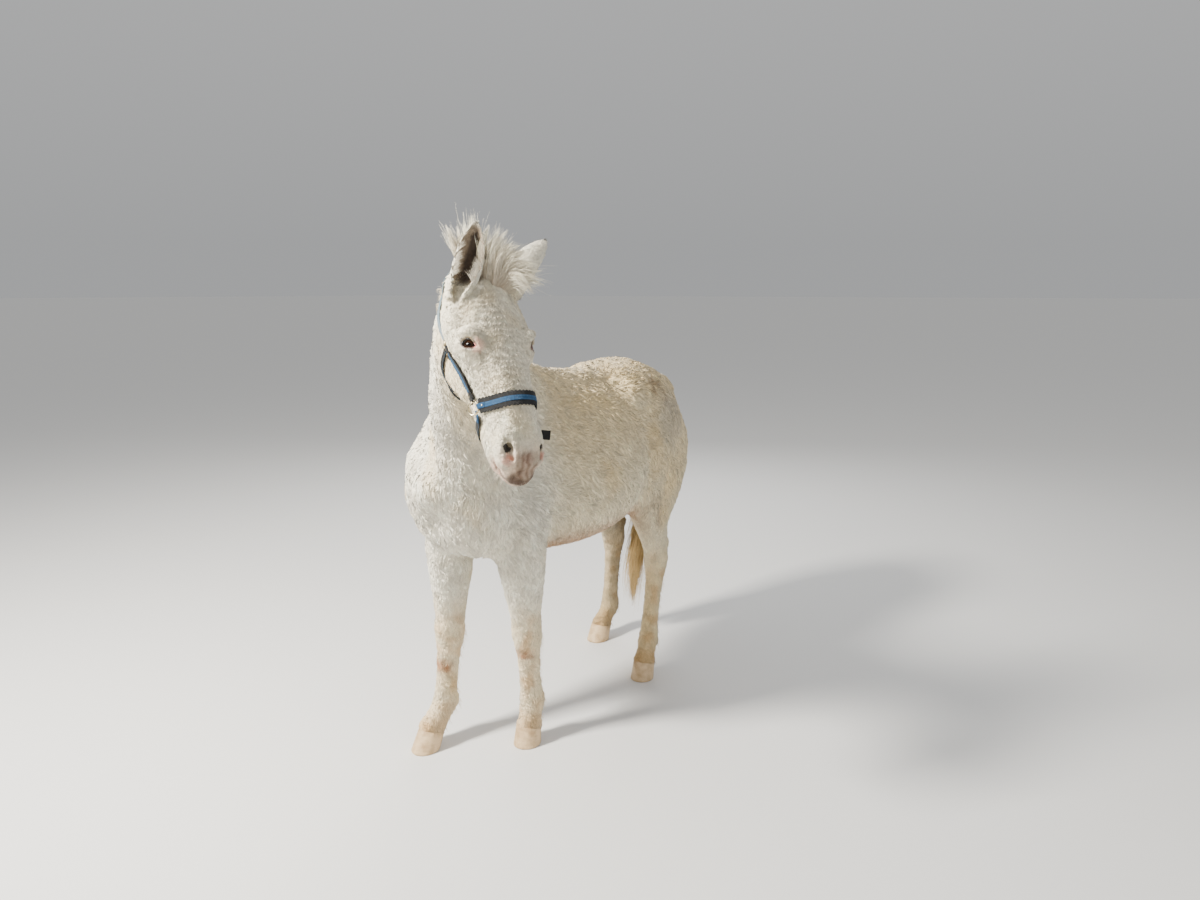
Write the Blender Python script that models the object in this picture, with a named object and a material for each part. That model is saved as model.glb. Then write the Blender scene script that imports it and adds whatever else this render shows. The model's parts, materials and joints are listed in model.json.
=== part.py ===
"""A life-size standing mule in a head halter, for Blender 4.5.

The flesh is one smooth field: limbs are chains of elliptical stations, muscles
are stretches of the same kind, and every shape is a blend of them.  The field is
meshed once, thinned, and parted with thin cuts into the parts a person would name.
Hooves, eyes, ears, halter and locks of hair are built on it from named sizes.

Places are given as (forward, left, up) in metres, from the ground midway between
the feet; the row frame has the mule facing -Y with its left side at +X.
"""

import math
import random

import bmesh
import bpy
import numpy as np
import openvdb
from mathutils import Matrix, Vector

# Driving sizes of the animal, in metres
WITHERS_UP = 1.365
GAP = 0.0003
CENTRE_FORWARD = 0.052
CENTRE_LEFT = 0.154

# The head: where the poll is, and how it is turned
POLL = (0.743, 0.345, 1.647)
HEAD_YAW = math.radians(71.0)
HEAD_PITCH = math.radians(32.5)
HEAD_ROLL = math.radians(-4.2)
HEAD_SCALE = 1.02

# Meshing of the field
FINE_CELL = 0.0045
COARSE_CELL = 0.010
FLESH_TRIANGLES = 5100
# How far the field is worked out round a shape, and its value beyond
REACH = 0.05
FAR = 0.3


def at(forward, left, up):
    """A place by its forward, left and up distances, in the row frame."""
    return np.array([left - CENTRE_LEFT, CENTRE_FORWARD - forward, up], float)


def towards(forward, left, up):
    """A direction by its forward, left and up shares, in the row frame."""
    direction = np.array([left, -forward, up], float)
    return direction / np.linalg.norm(direction)


# The way to the mule's left, and the way up its slightly leaning limbs
LEFT = towards(0, 1, 0)
RISE = towards(0.3, 0, 1)


def head_axes():
    """Along the face, out of the face, and to the head's left."""
    ahead = np.array([math.cos(HEAD_YAW), math.sin(HEAD_YAW), 0.0])
    left = np.array([-math.sin(HEAD_YAW), math.cos(HEAD_YAW), 0.0])
    up = np.array([0.0, 0.0, 1.0])
    along = math.sin(HEAD_PITCH) * ahead - math.cos(HEAD_PITCH) * up
    out = math.cos(HEAD_PITCH) * ahead + math.sin(HEAD_PITCH) * up

    def rolled(v):
        """Turned about the head's level forward axis."""
        c, s = math.cos(HEAD_ROLL), math.sin(HEAD_ROLL)
        return v * c + np.cross(ahead, v) * s + ahead * (ahead @ v) * (1 - c)

    return [towards(*rolled(v)) for v in (along, out, left)]


ALONG, OUT, ASIDE = head_axes()


def on_head(along, out, aside):
    """A place on the head: down the face from the poll, out of the face, to its left."""
    step = along * ALONG + out * OUT + aside * ASIDE
    return at(*POLL) + HEAD_SCALE * step


def smooth_union(a, b, blend):
    """The lesser of two distances, rounded where they are alike."""
    nearness = np.maximum(blend - np.abs(a - b), 0.0) / blend
    return np.minimum(a, b) - nearness * nearness * blend / 4


def smooth_cut(a, b, blend):
    """The first shape without the second, its edge rounded."""
    return -smooth_union(-a, b, blend)


def through(rows, steps):
    """Rows of numbers made denser along a smooth curve through them."""
    rows = np.array(rows, float)
    if len(rows) < 3 or steps < 2:
        return rows
    padded = np.vstack([2 * rows[0] - rows[1], rows, 2 * rows[-1] - rows[-2]])
    dense = []
    for before, a, b, after in zip(padded, padded[1:], padded[2:], padded[3:]):
        for t in np.arange(steps) / steps:
            dense.append(
                a
                + 0.5 * t * (b - before)
                + t * t * (before - 2.5 * a + 2 * b - 0.5 * after)
                + t**3 * (1.5 * (a - b) + 0.5 * (after - before))
            )
    return np.array(dense + [rows[-1]])


class Stretch:
    """A part of an elliptical tube, between the planes of two stations.

    A station is a centre and its half width, half depth and egg: above the
    centre the tube is narrower by that share, and below it wider.  Neighbours
    share the plane between them, so that a chain has no ridge where they meet.
    """

    def __init__(self, start, end, planes, sides, rises, ends):
        self.start = start[:3]
        self.step = end[:3] - start[:3]
        self.planes, self.ends = planes, ends
        self.side, self.side_turn = sides[0], sides[1] - sides[0]
        self.rise, self.rise_turn = rises[0], rises[1] - rises[0]
        self.axis = self.step / np.linalg.norm(self.step)
        self.sizes, self.growth = start[3:], end[3:] - start[3:]
        margin = max(start[3:5].max(), end[3:5].max()) * 1.25 + REACH
        self.low = np.minimum(start[:3], end[:3]) - margin
        self.high = np.maximum(start[:3], end[:3]) + margin

    def distance(self, x, y, z):
        """How far places lie outside the tube, less than 0 inside it."""

        def along(v):
            return x * v[0] + y * v[1] + z * v[2]

        x, y, z = (v - c for v, c in zip((x, y, z), self.start))
        first = along(self.planes[0])
        second = self.step @ self.planes[1] - along(self.planes[1])
        raw = first / np.maximum(first + second, 1e-4)
        t = np.clip(raw, 0.0, 1.0)
        x, y, z = (v - t * s for v, s in zip((x, y, z), self.step))
        width, depth, egg = (s + t * g for s, g in zip(self.sizes, self.growth))
        u = along(self.side) + t * along(self.side_turn)
        v = along(self.rise) + t * along(self.rise_turn)
        w = np.where(raw == t, 0.0, along(self.axis))
        width = width * (1 - egg * np.clip(v / depth, -1, 1))
        end = np.minimum(width, depth)
        u, v, w = u / width, v / depth, w / end
        size = np.sqrt(u * u + v * v + w * w) + 1e-6
        slope = np.sqrt((u / width) ** 2 + (v / depth) ** 2 + (w / end) ** 2) + 1e-6
        first, last = self.ends
        outside = ((raw < 0) & (not first)) | ((raw > 1) & (not last))
        return np.where(outside, FAR, size * (size - 1) / slope)


def unit(vectors):
    return vectors / np.linalg.norm(vectors, axis=-1, keepdims=True)


class Limb:
    """A chain of stretches that blends with what is there, or is cut out of it."""

    def __init__(self, rows, blend, side=LEFT, rise=RISE, steps=3, cut=False):
        rows = through(rows, steps)
        steps = unit(np.diff(rows[:, :3], axis=0))
        planes = unit(np.vstack([steps[:1], steps[1:] + steps[:-1], steps[-1:]]))
        share = np.linspace(0, 1, len(rows))[:, None]
        side = np.broadcast_to(side, (2, 3))
        sides = side[0] * (1 - share) + side[1] * share
        sides = unit(sides - np.sum(sides * planes, axis=1, keepdims=True) * planes)
        rises = np.cross(planes, sides)
        rises *= 1 if np.sum(rises @ rise) > 0 else -1
        last = len(rows) - 2
        self.stretches = [
            Stretch(
                *(rows[i], rows[i + 1], planes[i : i + 2], sides[i : i + 2], rises[i : i + 2]),
                (i == 0, i == last),
            )
            for i in range(last + 1)
        ]
        self.blend, self.cut = blend, cut
        self.low = np.min([s.low for s in self.stretches], axis=0)
        self.high = np.max([s.high for s in self.stretches], axis=0)

    def joined(self, before, distance):
        join = smooth_cut if self.cut else smooth_union
        return join(before, distance, self.blend)


def station(place, half_width, half_depth, egg=0.0):
    return [*place, half_width, half_depth, egg]


def window(axes, low, high):
    """The part of a grid that lies between two corners."""
    return tuple(
        slice(*np.searchsorted(axis, (a, b))) for axis, a, b in zip(axes, low, high)
    )


def grid_values(limbs, axes):
    """The field at every crossing of the three axes."""
    field = np.full([len(a) for a in axes], FAR, np.float32)
    for limb in limbs:
        whole = window(axes, limb.low, limb.high)
        if any(s.start >= s.stop for s in whole):
            continue
        near = [axis[s] for axis, s in zip(axes, whole)]
        band = np.full([len(a) for a in near], FAR, np.float32)
        for stretch in limb.stretches:
            part = window(near, stretch.low, stretch.high)
            x, y, z = np.ix_(*(a[s] for a, s in zip(near, part)))
            band[part] = np.minimum(band[part], stretch.distance(x, y, z))
        field[whole] = limb.joined(field[whole], band)
    return field


def values(limbs, points):
    """The field at loose points."""
    field = np.full(len(points), FAR)
    for limb in limbs:
        near = np.all((points > limb.low) & (points < limb.high), axis=1)
        if not near.any():
            continue
        close = points[near]
        band = np.full(len(close), FAR)
        for stretch in limb.stretches:
            here = np.all((close > stretch.low) & (close < stretch.high), axis=1)
            if here.any():
                band[here] = np.minimum(
                    band[here], stretch.distance(*close[here].T)
                )
        field[near] = limb.joined(field[near], band)
    return field


def slopes(limbs, points, step=0.0008):
    """The field's outward direction and steepness at loose points."""
    slope = np.stack(
        [
            values(limbs, points + step * axis) - values(limbs, points - step * axis)
            for axis in np.eye(3)
        ],
        axis=1,
    ) / (2 * step)
    steepness = np.linalg.norm(slope, axis=1, keepdims=True) + 1e-6
    return slope / steepness, steepness[:, 0]


def settle(limbs, points, height=0.0, rounds=4, longest=0.01, pulled=True):
    """Points moved along the slope to that height over the surface, or only out to it."""
    points = np.array(points, float)
    for _ in range(rounds):
        normal, steepness = slopes(limbs, points)
        step = (values(limbs, points) - height) / np.maximum(steepness, 0.3)
        if not pulled:
            step = np.minimum(step, 0)
        points -= np.clip(step, -longest, longest)[:, None] * normal
    return points


# The trunk: forward, top, bottom, half width, egg
TRUNK = [
    (0.625, 1.040, 0.900, 0.080, 0.00),
    (0.560, 1.160, 0.800, 0.145, 0.10),
    (0.440, 1.280, 0.722, 0.182, 0.22),
    (0.280, 1.335, 0.672, 0.216, 0.28),
    (0.100, 1.300, 0.648, 0.258, 0.22),
    (-0.060, 1.280, 0.638, 0.278, 0.16),
    (-0.200, 1.285, 0.660, 0.268, 0.12),
    (-0.330, 1.300, 0.725, 0.235, 0.08),
    (-0.460, 1.300, 0.830, 0.200, 0.05),
    (-0.580, 1.270, 0.920, 0.165, 0.05),
    (-0.640, 1.205, 1.000, 0.088, 0.00),
]


def trunk():
    """The barrel, with the ridge of the withers and back, and the middle of the breast."""
    barrel = [
        station(at(f, 0, (top + low) / 2), width, (top - low) / 2, egg)
        for f, top, low, width, egg in TRUNK
    ]
    ridge_line = [
        (0.47, 1.290, 0.040, 0.050),
        (0.34, WITHERS_UP - 0.045, 0.042, 0.050),
        (0.22, WITHERS_UP - 0.060, 0.044, 0.050),
        (0.05, 1.258, 0.060, 0.050),
        (-0.20, 1.250, 0.080, 0.050),
        (-0.42, 1.272, 0.075, 0.055),
        (-0.60, 1.215, 0.050, 0.060),
    ]
    ridge = [station(at(f, 0, up), w, d) for f, up, w, d in ridge_line]
    breast = [
        station(at(0.550, 0, 1.000), 0.080, 0.085),
        station(at(0.535, 0, 0.830), 0.085, 0.085),
    ]
    return [Limb(barrel, 0.02, steps=4), Limb(ridge, 0.06), Limb(breast, 0.06)]


def muscle(start, end, width, depth, blend, swell):
    """A spindle between two places, thickest midway; its ends keep the share swell."""
    start, end = np.array(start), np.array(end)
    rows = [
        station(start + share * (end - start), width * size, depth * size)
        for share, size in ((0, swell), (0.5, 1.0), (1, swell))
    ]
    return Limb(rows, blend)


def muscles(table, side):
    """The muscles of one side, from a table of the left side's."""
    flip = np.array([1, side, 1])
    return [
        muscle(at(*(flip * start)), at(*(flip * end)), *sizes)
        for start, end, *sizes in table
    ]


# Muscles of shoulder, upper arm and breast: start, end, half width, half depth, blend, swell
FOREHAND = [
    ((0.270, 0.070, 1.275), (0.550, 0.116, 1.020), 0.066, 0.115, 0.07, 0.60),
    ((0.545, 0.088, 1.030), (0.535, 0.110, 0.900), 0.066, 0.080, 0.08, 0.85),
    ((0.530, 0.134, 0.940), (0.390, 0.146, 0.810), 0.068, 0.100, 0.07, 0.60),
    ((0.330, 0.135, 1.050), (0.370, 0.150, 0.820), 0.064, 0.100, 0.05, 0.60),
    ((0.575, 0.070, 0.990), (0.550, 0.085, 0.840), 0.075, 0.075, 0.08, 0.80),
    ((0.510, 0.055, 0.775), (0.380, 0.085, 0.745), 0.074, 0.062, 0.06, 0.90),
]
# Muscles of hip, croup and flank, in the same way
HINDQUARTER = [
    ((-0.300, 0.160, 1.195), (-0.380, 0.165, 1.175), 0.056, 0.060, 0.09, 0.90),
    ((-0.300, 0.085, 1.215), (-0.570, 0.100, 1.175), 0.092, 0.105, 0.07, 0.75),
    ((-0.450, 0.150, 1.140), (-0.600, 0.140, 0.960), 0.085, 0.115, 0.06, 0.80),
    ((-0.340, 0.155, 1.080), (-0.380, 0.165, 0.880), 0.080, 0.100, 0.06, 0.75),
]
# The back of the thigh: forward, left, up, half width, half depth, and how far it follows the leg
BUTTOCK = [
    (-0.600, 0.085, 1.160, 0.065, 0.070, 0.0),
    (-0.640, 0.100, 1.060, 0.078, 0.080, 0.0),
    (-0.630, 0.132, 0.930, 0.084, 0.096, 0.1),
    (-0.560, 0.158, 0.800, 0.070, 0.092, 0.5),
    (-0.480, 0.170, 0.660, 0.052, 0.060, 1.0),
    (-0.492, 0.171, 0.580, 0.034, 0.040, 1.0),
]
# The thigh's middle: forward, left, up, and how far it follows the leg
THIGH = [(-0.470, 0.160, 0.950, 0.4), (-0.470, 0.166, 0.820, 0.7)]


def thigh(name):
    """The muscles of one hind leg that follow its stifle forward or back."""
    side = 1 if name == "left" else -1
    stride = HIND_JOINTS[name][1][0] - HIND_JOINTS["left"][1][0]
    back = [
        station(at(f + follow * stride, side * l, u), width, depth)
        for f, l, u, width, depth, follow in BUTTOCK
    ]
    start, end = (at(f + follow * stride, side * l, u) for f, l, u, follow in THIGH)
    return [
        Limb(back, 0.05, rise=towards(1, 0, 0.3)),
        muscle(start, end, 0.064, 0.085, 0.06, 0.90),
    ]


# A leg's girths: bone, share of its length, half width, half depth
FORE_GIRTHS = [
    (0, -0.20, 0.084, 0.112),
    (0, 0.00, 0.086, 0.105),
    (0, 0.25, 0.083, 0.092),
    (0, 0.50, 0.071, 0.076),
    (0, 0.80, 0.053, 0.058),
    (0, 1.00, 0.051, 0.053),
    (1, 0.22, 0.042, 0.047),
    (1, 0.55, 0.036, 0.042),
    (1, 0.82, 0.036, 0.044),
    (1, 1.00, 0.042, 0.048),
    (2, 0.50, 0.039, 0.043),
    (2, 1.00, 0.045, 0.050),
]
HIND_GIRTHS = [
    (0, 0.00, 0.085, 0.150),
    (0, 0.60, 0.080, 0.135),
    (1, 0.00, 0.072, 0.118),
    (1, 0.30, 0.059, 0.086),
    (1, 0.60, 0.047, 0.062),
    (1, 0.84, 0.040, 0.052),
    (1, 1.00, 0.045, 0.058),
    (2, 0.20, 0.037, 0.048),
    (2, 0.50, 0.032, 0.039),
    (2, 0.80, 0.033, 0.041),
    (2, 1.00, 0.040, 0.046),
    (3, 0.50, 0.036, 0.040),
    (3, 1.00, 0.044, 0.049),
]
# The joints of each leg from the top down to the coronet
FORE_JOINTS = {
    "left": [
        (0.395, 0.147, 0.790),
        (0.345, 0.134, 0.408),
        (0.333, 0.140, 0.150),
        (0.352, 0.143, 0.070),
    ],
    "right": [
        (0.432, -0.136, 0.790),
        (0.472, -0.117, 0.400),
        (0.510, -0.115, 0.148),
        (0.572, -0.121, 0.070),
    ],
}
HIND_JOINTS = {
    "left": [
        (-0.400, 0.140, 1.000),
        (-0.345, 0.168, 0.820),
        (-0.478, 0.172, 0.478),
        (-0.385, 0.190, 0.145),
        (-0.352, 0.194, 0.070),
    ],
    "right": [
        (-0.440, -0.140, 1.000),
        (-0.430, -0.168, 0.815),
        (-0.665, -0.168, 0.478),
        (-0.655, -0.186, 0.138),
        (-0.592, -0.188, 0.068),
    ],
}


def leg(joints, girths, blend):
    """The flesh of one leg, girth by girth down its bones."""
    joints = [at(*j) for j in joints]
    rows = [
        station(joints[bone] + share * (joints[bone + 1] - joints[bone]), width, depth)
        for bone, share, width, depth in girths
    ]
    return Limb(rows, blend, rise=towards(1, 0, 0.2))


# Small swellings by a joint: how far behind it and how far up they start and end, then their sizes
FETLOCK_TUFT = (0.030, 0.020, 0.034, -0.013, 0.024, 0.020, 0.02, 0.90)
KNEE_FRONT = (-0.012, 0.020, -0.010, -0.030, 0.044, 0.040, 0.02, 0.90)
KNEE_BACK = (0.038, 0.022, 0.036, -0.012, 0.022, 0.020, 0.02, 0.90)
ELBOW_POINT = (0.075, 0.030, 0.050, -0.050, 0.034, 0.036, 0.03, 0.80)
STIFLE_FRONT = (-0.055, 0.040, -0.052, -0.030, 0.060, 0.058, 0.05, 0.85)
HOCK_FRONT = (-0.022, 0.020, -0.026, -0.030, 0.038, 0.036, 0.02, 0.90)
# The point of the hock, behind and above its joint, and where its tendon ends on the shin
HEEL = (0.050, 0.062)
TENDON = (0.45, 0.050)
BEHIND = towards(-1, 0, 0)


def swelling(joint, sizes):
    """A small muscle placed from a joint."""
    start_back, start_up, end_back, end_up, *rest = sizes
    start = joint + start_back * BEHIND + start_up * RISE
    return muscle(start, joint + end_back * BEHIND + end_up * RISE, *rest)


def fore_details(joints):
    """The knee's flat front, the bone behind it, the fetlock's tuft and the elbow."""
    elbow, knee, fetlock, _ = (at(*j) for j in joints)
    places = (knee, KNEE_FRONT), (knee, KNEE_BACK), (fetlock, FETLOCK_TUFT), (elbow, ELBOW_POINT)
    return [swelling(joint, sizes) for joint, sizes in places]


def hind_details(joints):
    """The stifle, the point of the hock with its tendon, and the fetlock's tuft."""
    _, stifle, hock, fetlock, _ = (at(*j) for j in joints)
    heel = hock + HEEL[0] * BEHIND + towards(0, 0, 1) * HEEL[1]
    tendon = stifle + TENDON[0] * (hock - stifle) + TENDON[1] * BEHIND
    return [
        swelling(stifle, STIFLE_FRONT),
        muscle(heel, hock + 0.040 * BEHIND, 0.024, 0.026, 0.02, 0.90),
        muscle(heel, tendon, 0.017, 0.019, 0.03, 1.00),
        swelling(hock, HOCK_FRONT),
        swelling(fetlock, FETLOCK_TUFT),
    ]


# The neck: forward, left, up, half width, half depth, egg
NECK = [
    (0.330, 0.000, 1.050, 0.128, 0.275, 0.20),
    (0.450, 0.035, 1.155, 0.111, 0.232, 0.26),
    (0.560, 0.092, 1.270, 0.109, 0.188, 0.28),
    (0.637, 0.163, 1.380, 0.111, 0.152, 0.24),
    (0.693, 0.225, 1.474, 0.111, 0.124, 0.18),
    (0.716, 0.258, 1.526, 0.103, 0.108, 0.14),
    (0.732, 0.284, 1.566, 0.088, 0.090, 0.10),
]
NECK_YAW = math.radians(66.0)


def neck():
    """The neck, whose section turns with the head on its way up."""
    rows = [station(at(f, l, u), w, d, egg) for f, l, u, w, d, egg in NECK]
    turned = towards(-math.sin(NECK_YAW), math.cos(NECK_YAW), 0)
    sides = np.array([LEFT, turned])
    return [Limb(rows, 0.10, side=sides, rise=towards(-0.5, -0.3, 1), steps=4)]


def head_limb(rows, blend, cut=False, steps=3):
    """A limb of the head; a row is along, out, aside, half width, half depth, egg."""
    stations = [
        station(on_head(*row[:3]), HEAD_SCALE * row[3], HEAD_SCALE * row[4], *row[5:])
        for row in rows
    ]
    return Limb(stations, blend, side=ASIDE, rise=OUT, steps=steps, cut=cut)


# The head's limbs: along, out, aside, half width, half depth, egg
FACE = [
    (0.005, -0.092, 0, 0.078, 0.070, 0.10),
    (0.060, -0.085, 0, 0.112, 0.080, 0.12),
    (0.130, -0.079, 0, 0.127, 0.082, 0.12),
    (0.200, -0.077, 0, 0.114, 0.082, 0.12),
    (0.270, -0.078, 0, 0.086, 0.080, 0.10),
    (0.350, -0.082, 0, 0.072, 0.076, 0.04),
    (0.430, -0.088, 0, 0.065, 0.070, 0.00),
    (0.485, -0.094, 0, 0.062, 0.066, 0.00),
    (0.518, -0.106, 0, 0.056, 0.058, 0.00),
    (0.536, -0.114, 0, 0.043, 0.045, 0.00),
]
JAW = [
    (0.085, -0.150, 0, 0.060, 0.072, 0.0),
    (0.140, -0.168, 0, 0.072, 0.088, 0.0),
    (0.205, -0.170, 0, 0.074, 0.088, 0.0),
    (0.275, -0.156, 0, 0.064, 0.068, 0.0),
    (0.350, -0.152, 0, 0.056, 0.056, 0.0),
    (0.420, -0.153, 0, 0.052, 0.052, 0.0),
    (0.470, -0.155, 0, 0.047, 0.044, 0.0),
    (0.496, -0.157, 0, 0.039, 0.035, 0.0),
]
# The eye's ball, which way it looks, and its opening between the lids: depth, half length, half height
EYE = (0.206, -0.0485, 0.0835)
EYE_RADIUS = 0.0225
EYE_FACING = (0.60, 0.80)
EYE_SLANT = (0.88, 0.48)
LIDS = (0.0215, 0.0205, 0.0122)
# The opening from its outer to its inner corner: share of half length, height, lift
LID_LINE = [
    (-1.00, 0.12, -0.10),
    (-0.55, 0.80, 0.10),
    (0.00, 1.00, 0.16),
    (0.50, 0.80, 0.06),
    (1.08, 0.14, -0.22),
]
# The bony rim over the eye, by its angle from the inner corner: far, deep, size
RIM = [
    (195, 0.035, 0.000, 0.009),
    (150, 0.036, 0.009, 0.012),
    (105, 0.037, 0.023, 0.014),
    (60, 0.036, 0.018, 0.012),
    (25, 0.038, 0.002, 0.009),
]
LOWER_LID = [(215, 0.029, 0.002, 0.009), (270, 0.029, 0.002, 0.009), (325, 0.029, 0.002, 0.009)]


def eye_axes(side):
    """The way one eye looks, the way from its outer to its inner corner, and the way to its upper lid."""
    out, aside = EYE_FACING
    looks = unit(out * OUT + aside * side * ASIDE)
    level, down = EYE_SLANT
    inner = unit(level * (aside * OUT - out * side * ASIDE) + down * ALONG)
    inner = unit(inner - (inner @ looks) * looks)
    upper = np.cross(looks, inner)
    return looks, inner, upper if upper @ ALONG < 0 else -upper


def lid_opening(side):
    """The almond cut through the skin over one eye, rounder along its upper edge."""
    looks, inner, upper = eye_axes(side)
    reach, half_length, half_height = LIDS
    middle = on_head(*on_side(EYE, side)) + reach * looks
    rows = [
        station(
            middle + share * half_length * inner + lift * half_height * upper,
            0.012,
            height * half_height,
        )
        for share, height, lift in LID_LINE
    ]
    return Limb(rows, 0.0018, side=looks, rise=upper, cut=True)


def orbit(side):
    """The bony rim over and in front of one eye, and the fuller lid below it."""
    looks, inner, upper = eye_axes(side)
    middle = on_head(*on_side(EYE, side))

    def arc(rows):
        """Stations round the eye."""
        return [
            station(
                middle
                + far * (math.cos(math.radians(angle)) * inner)
                + far * (math.sin(math.radians(angle)) * upper)
                + deep * looks,
                size,
                size,
            )
            for angle, far, deep, size in rows
        ]

    return [
        Limb(arc(RIM), 0.030, side=looks, rise=upper),
        Limb(arc(LOWER_LID), 0.024, side=looks, rise=upper),
    ]


# Shapes of the left side of the head: along, out, aside, half width, half depth
CHEEK_BONE = [
    (0.115, -0.150, 0.044, 0.030, 0.070),
    (0.185, -0.162, 0.054, 0.033, 0.086),
    (0.262, -0.148, 0.048, 0.028, 0.062),
]
FACE_RIDGE = [
    (0.240, -0.090, 0.078, 0.012, 0.014),
    (0.300, -0.096, 0.071, 0.010, 0.012),
    (0.370, -0.098, 0.059, 0.008, 0.010),
]
NOSE_BRIDGE = [
    (0.225, -0.028, 0.018, 0.012, 0.010),
    (0.300, -0.018, 0.020, 0.018, 0.010),
    (0.380, -0.022, 0.018, 0.017, 0.010),
    (0.455, -0.034, 0.016, 0.014, 0.010),
]
NOSTRIL_WING = [
    (0.430, -0.072, 0.030, 0.015, 0.021),
    (0.462, -0.066, 0.039, 0.020, 0.026),
    (0.492, -0.068, 0.042, 0.022, 0.029),
    (0.518, -0.082, 0.040, 0.018, 0.025),
]
EAR_ROOT = [(-0.012, -0.078, 0.054, 0.026, 0.026), (0.020, -0.078, 0.058, 0.027, 0.027)]
# Hollows of the left side, in the same way
TEMPLE = [(0.105, -0.022, 0.106, 0.018, 0.014), (0.135, -0.022, 0.112, 0.016, 0.012)]
NOSTRIL = [
    (0.484, -0.041, 0.0500, 0.0075, 0.0095),
    (0.498, -0.047, 0.0530, 0.0115, 0.0130),
    (0.512, -0.055, 0.0470, 0.0110, 0.0130),
    (0.525, -0.066, 0.0380, 0.0065, 0.0085),
]
PASSAGE = [(0.500, -0.054, 0.046, 0.0120, 0.0110), (0.478, -0.066, 0.030, 0.0090, 0.0090)]
MOUTH = [
    (0.440, -0.126, 0.0550, 0.0034, 0.0024),
    (0.470, -0.133, 0.0550, 0.0042, 0.0029),
    (0.498, -0.137, 0.0500, 0.0046, 0.0032),
    (0.522, -0.137, 0.0400, 0.0048, 0.0034),
    (0.542, -0.136, 0.0220, 0.0050, 0.0035),
    (0.548, -0.136, 0.0000, 0.0050, 0.0035),
]


def on_side(place, side):
    """A row of the left side, or its like on the right."""
    return (place[0], place[1], place[2] * side, *place[3:])


def side_limb(rows, side, blend, cut=False):
    return head_limb([on_side(row, side) for row in rows], blend, cut)


def nose_and_cheek(side):
    """Cheek, face ridge, nose, nostril wing, ear base and lids of one side."""
    radius = EYE_RADIUS + 0.0030
    ball_rows = [
        station(on_head(EYE[0] + step, EYE[1], EYE[2] * side), radius, radius)
        for step in (-0.002, 0.002)
    ]
    return [
        side_limb(CHEEK_BONE, side, 0.030),
        side_limb(FACE_RIDGE, side, 0.030),
        side_limb(NOSE_BRIDGE, side, 0.030),
        side_limb(NOSTRIL_WING, side, 0.025),
        side_limb(EAR_ROOT, side, 0.030),
        *orbit(side),
        Limb(ball_rows, 0.012, side=eye_axes(side)[0], rise=RISE),
    ]


def head_hollows(side):
    """Temple, nostril, half of the mouth's line and the opening of the lids of one side."""
    return [
        side_limb(TEMPLE, side, 0.030, cut=True),
        side_limb(NOSTRIL, side, 0.006, cut=True),
        side_limb(PASSAGE, side, 0.005, cut=True),
        side_limb(MOUTH, side, 0.004, cut=True),
        lid_opening(side),
    ]


def head():
    """Skull, cheeks, nose and lips, then the hollows of nostrils, mouth and eyes."""
    upper_lip = [(0.518, -0.106, 0, 0.049, 0.036), (0.538, -0.113, 0, 0.041, 0.028)]
    lower_lip = [(0.494, -0.152, 0, 0.041, 0.022), (0.514, -0.150, 0, 0.034, 0.017)]
    chin = [(0.462, -0.166, 0, 0.034, 0.027), (0.486, -0.168, 0, 0.032, 0.022)]
    shapes = [head_limb(FACE, 0.03), head_limb(JAW, 0.03)]
    shapes += [head_limb(upper_lip, 0.015), head_limb(lower_lip, 0.012), head_limb(chin, 0.02)]
    for side in (1, -1):
        shapes += nose_and_cheek(side)
    for side in (1, -1):
        shapes += head_hollows(side)
    return shapes


# The block that parts the head from the neck behind the jaw: along, out
HEAD_BLOCK = [(-0.31, 0.169), (0.215, -0.317), (0.62, -0.21), (0.62, 0.45), (-0.42, 0.45)]

# The dock of the tail: forward, left, up, radius
DOCK = [
    (-0.630, 0.000, 1.195, 0.046),
    (-0.700, -0.002, 1.185, 0.042),
    (-0.755, -0.006, 1.120, 0.034),
    (-0.772, -0.012, 1.020, 0.028),
    (-0.768, -0.018, 0.920, 0.022),
]


def flesh():
    """Every limb of the body, in the order they blend; the hollows come last."""
    limbs = trunk()
    for name, side in (("left", 1), ("right", -1)):
        limbs += muscles(FOREHAND, side) + muscles(HINDQUARTER, side) + thigh(name)
    for name in ("left", "right"):
        limbs.append(leg(FORE_JOINTS[name], FORE_GIRTHS, 0.04))
        limbs += fore_details(FORE_JOINTS[name])
        limbs.append(leg(HIND_JOINTS[name], HIND_GIRTHS, 0.04))
        limbs += hind_details(HIND_JOINTS[name])
    limbs += neck()
    tail_head = [station(at(f, l, u), r, r) for f, l, u, r in DOCK[:2]]
    limbs.append(Limb(tail_head, 0.05, rise=towards(-1, 0, 0.2)))
    return limbs + head()


def grid_axes(limbs, close):
    """Grid lines over the whole body, finer where the close limbs are."""
    low = np.min([limb.low for limb in limbs], axis=0)
    high = np.max([limb.high for limb in limbs], axis=0)
    near = np.min([limb.low for limb in close], axis=0) + REACH / 2
    far = np.max([limb.high for limb in close], axis=0) - REACH / 2
    axes = []
    for a, b, c, d in zip(low, near, far, high):
        before = np.arange(b, a, -COARSE_CELL)[:0:-1]
        middle = np.arange(b, c, FINE_CELL)
        after = np.arange(middle[-1] + COARSE_CELL, d, COARSE_CELL)
        axes.append(np.concatenate([before, middle, after]))
    return axes


def body_mesh(limbs, close):
    """The field as one mesh of quads."""
    axes = grid_axes(limbs, close)
    grid = openvdb.FloatGrid(FAR)
    grid.copyFromArray(grid_values(limbs, axes))
    points, quads = grid.convertToQuads(0.0)
    places = [np.interp(points[:, i], np.arange(len(axes[i])), axes[i]) for i in range(3)]
    mesh = bpy.data.meshes.new("body")
    mesh.from_pydata(np.stack(places, axis=1).tolist(), [], quads[:, ::-1].tolist())
    return mesh


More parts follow.
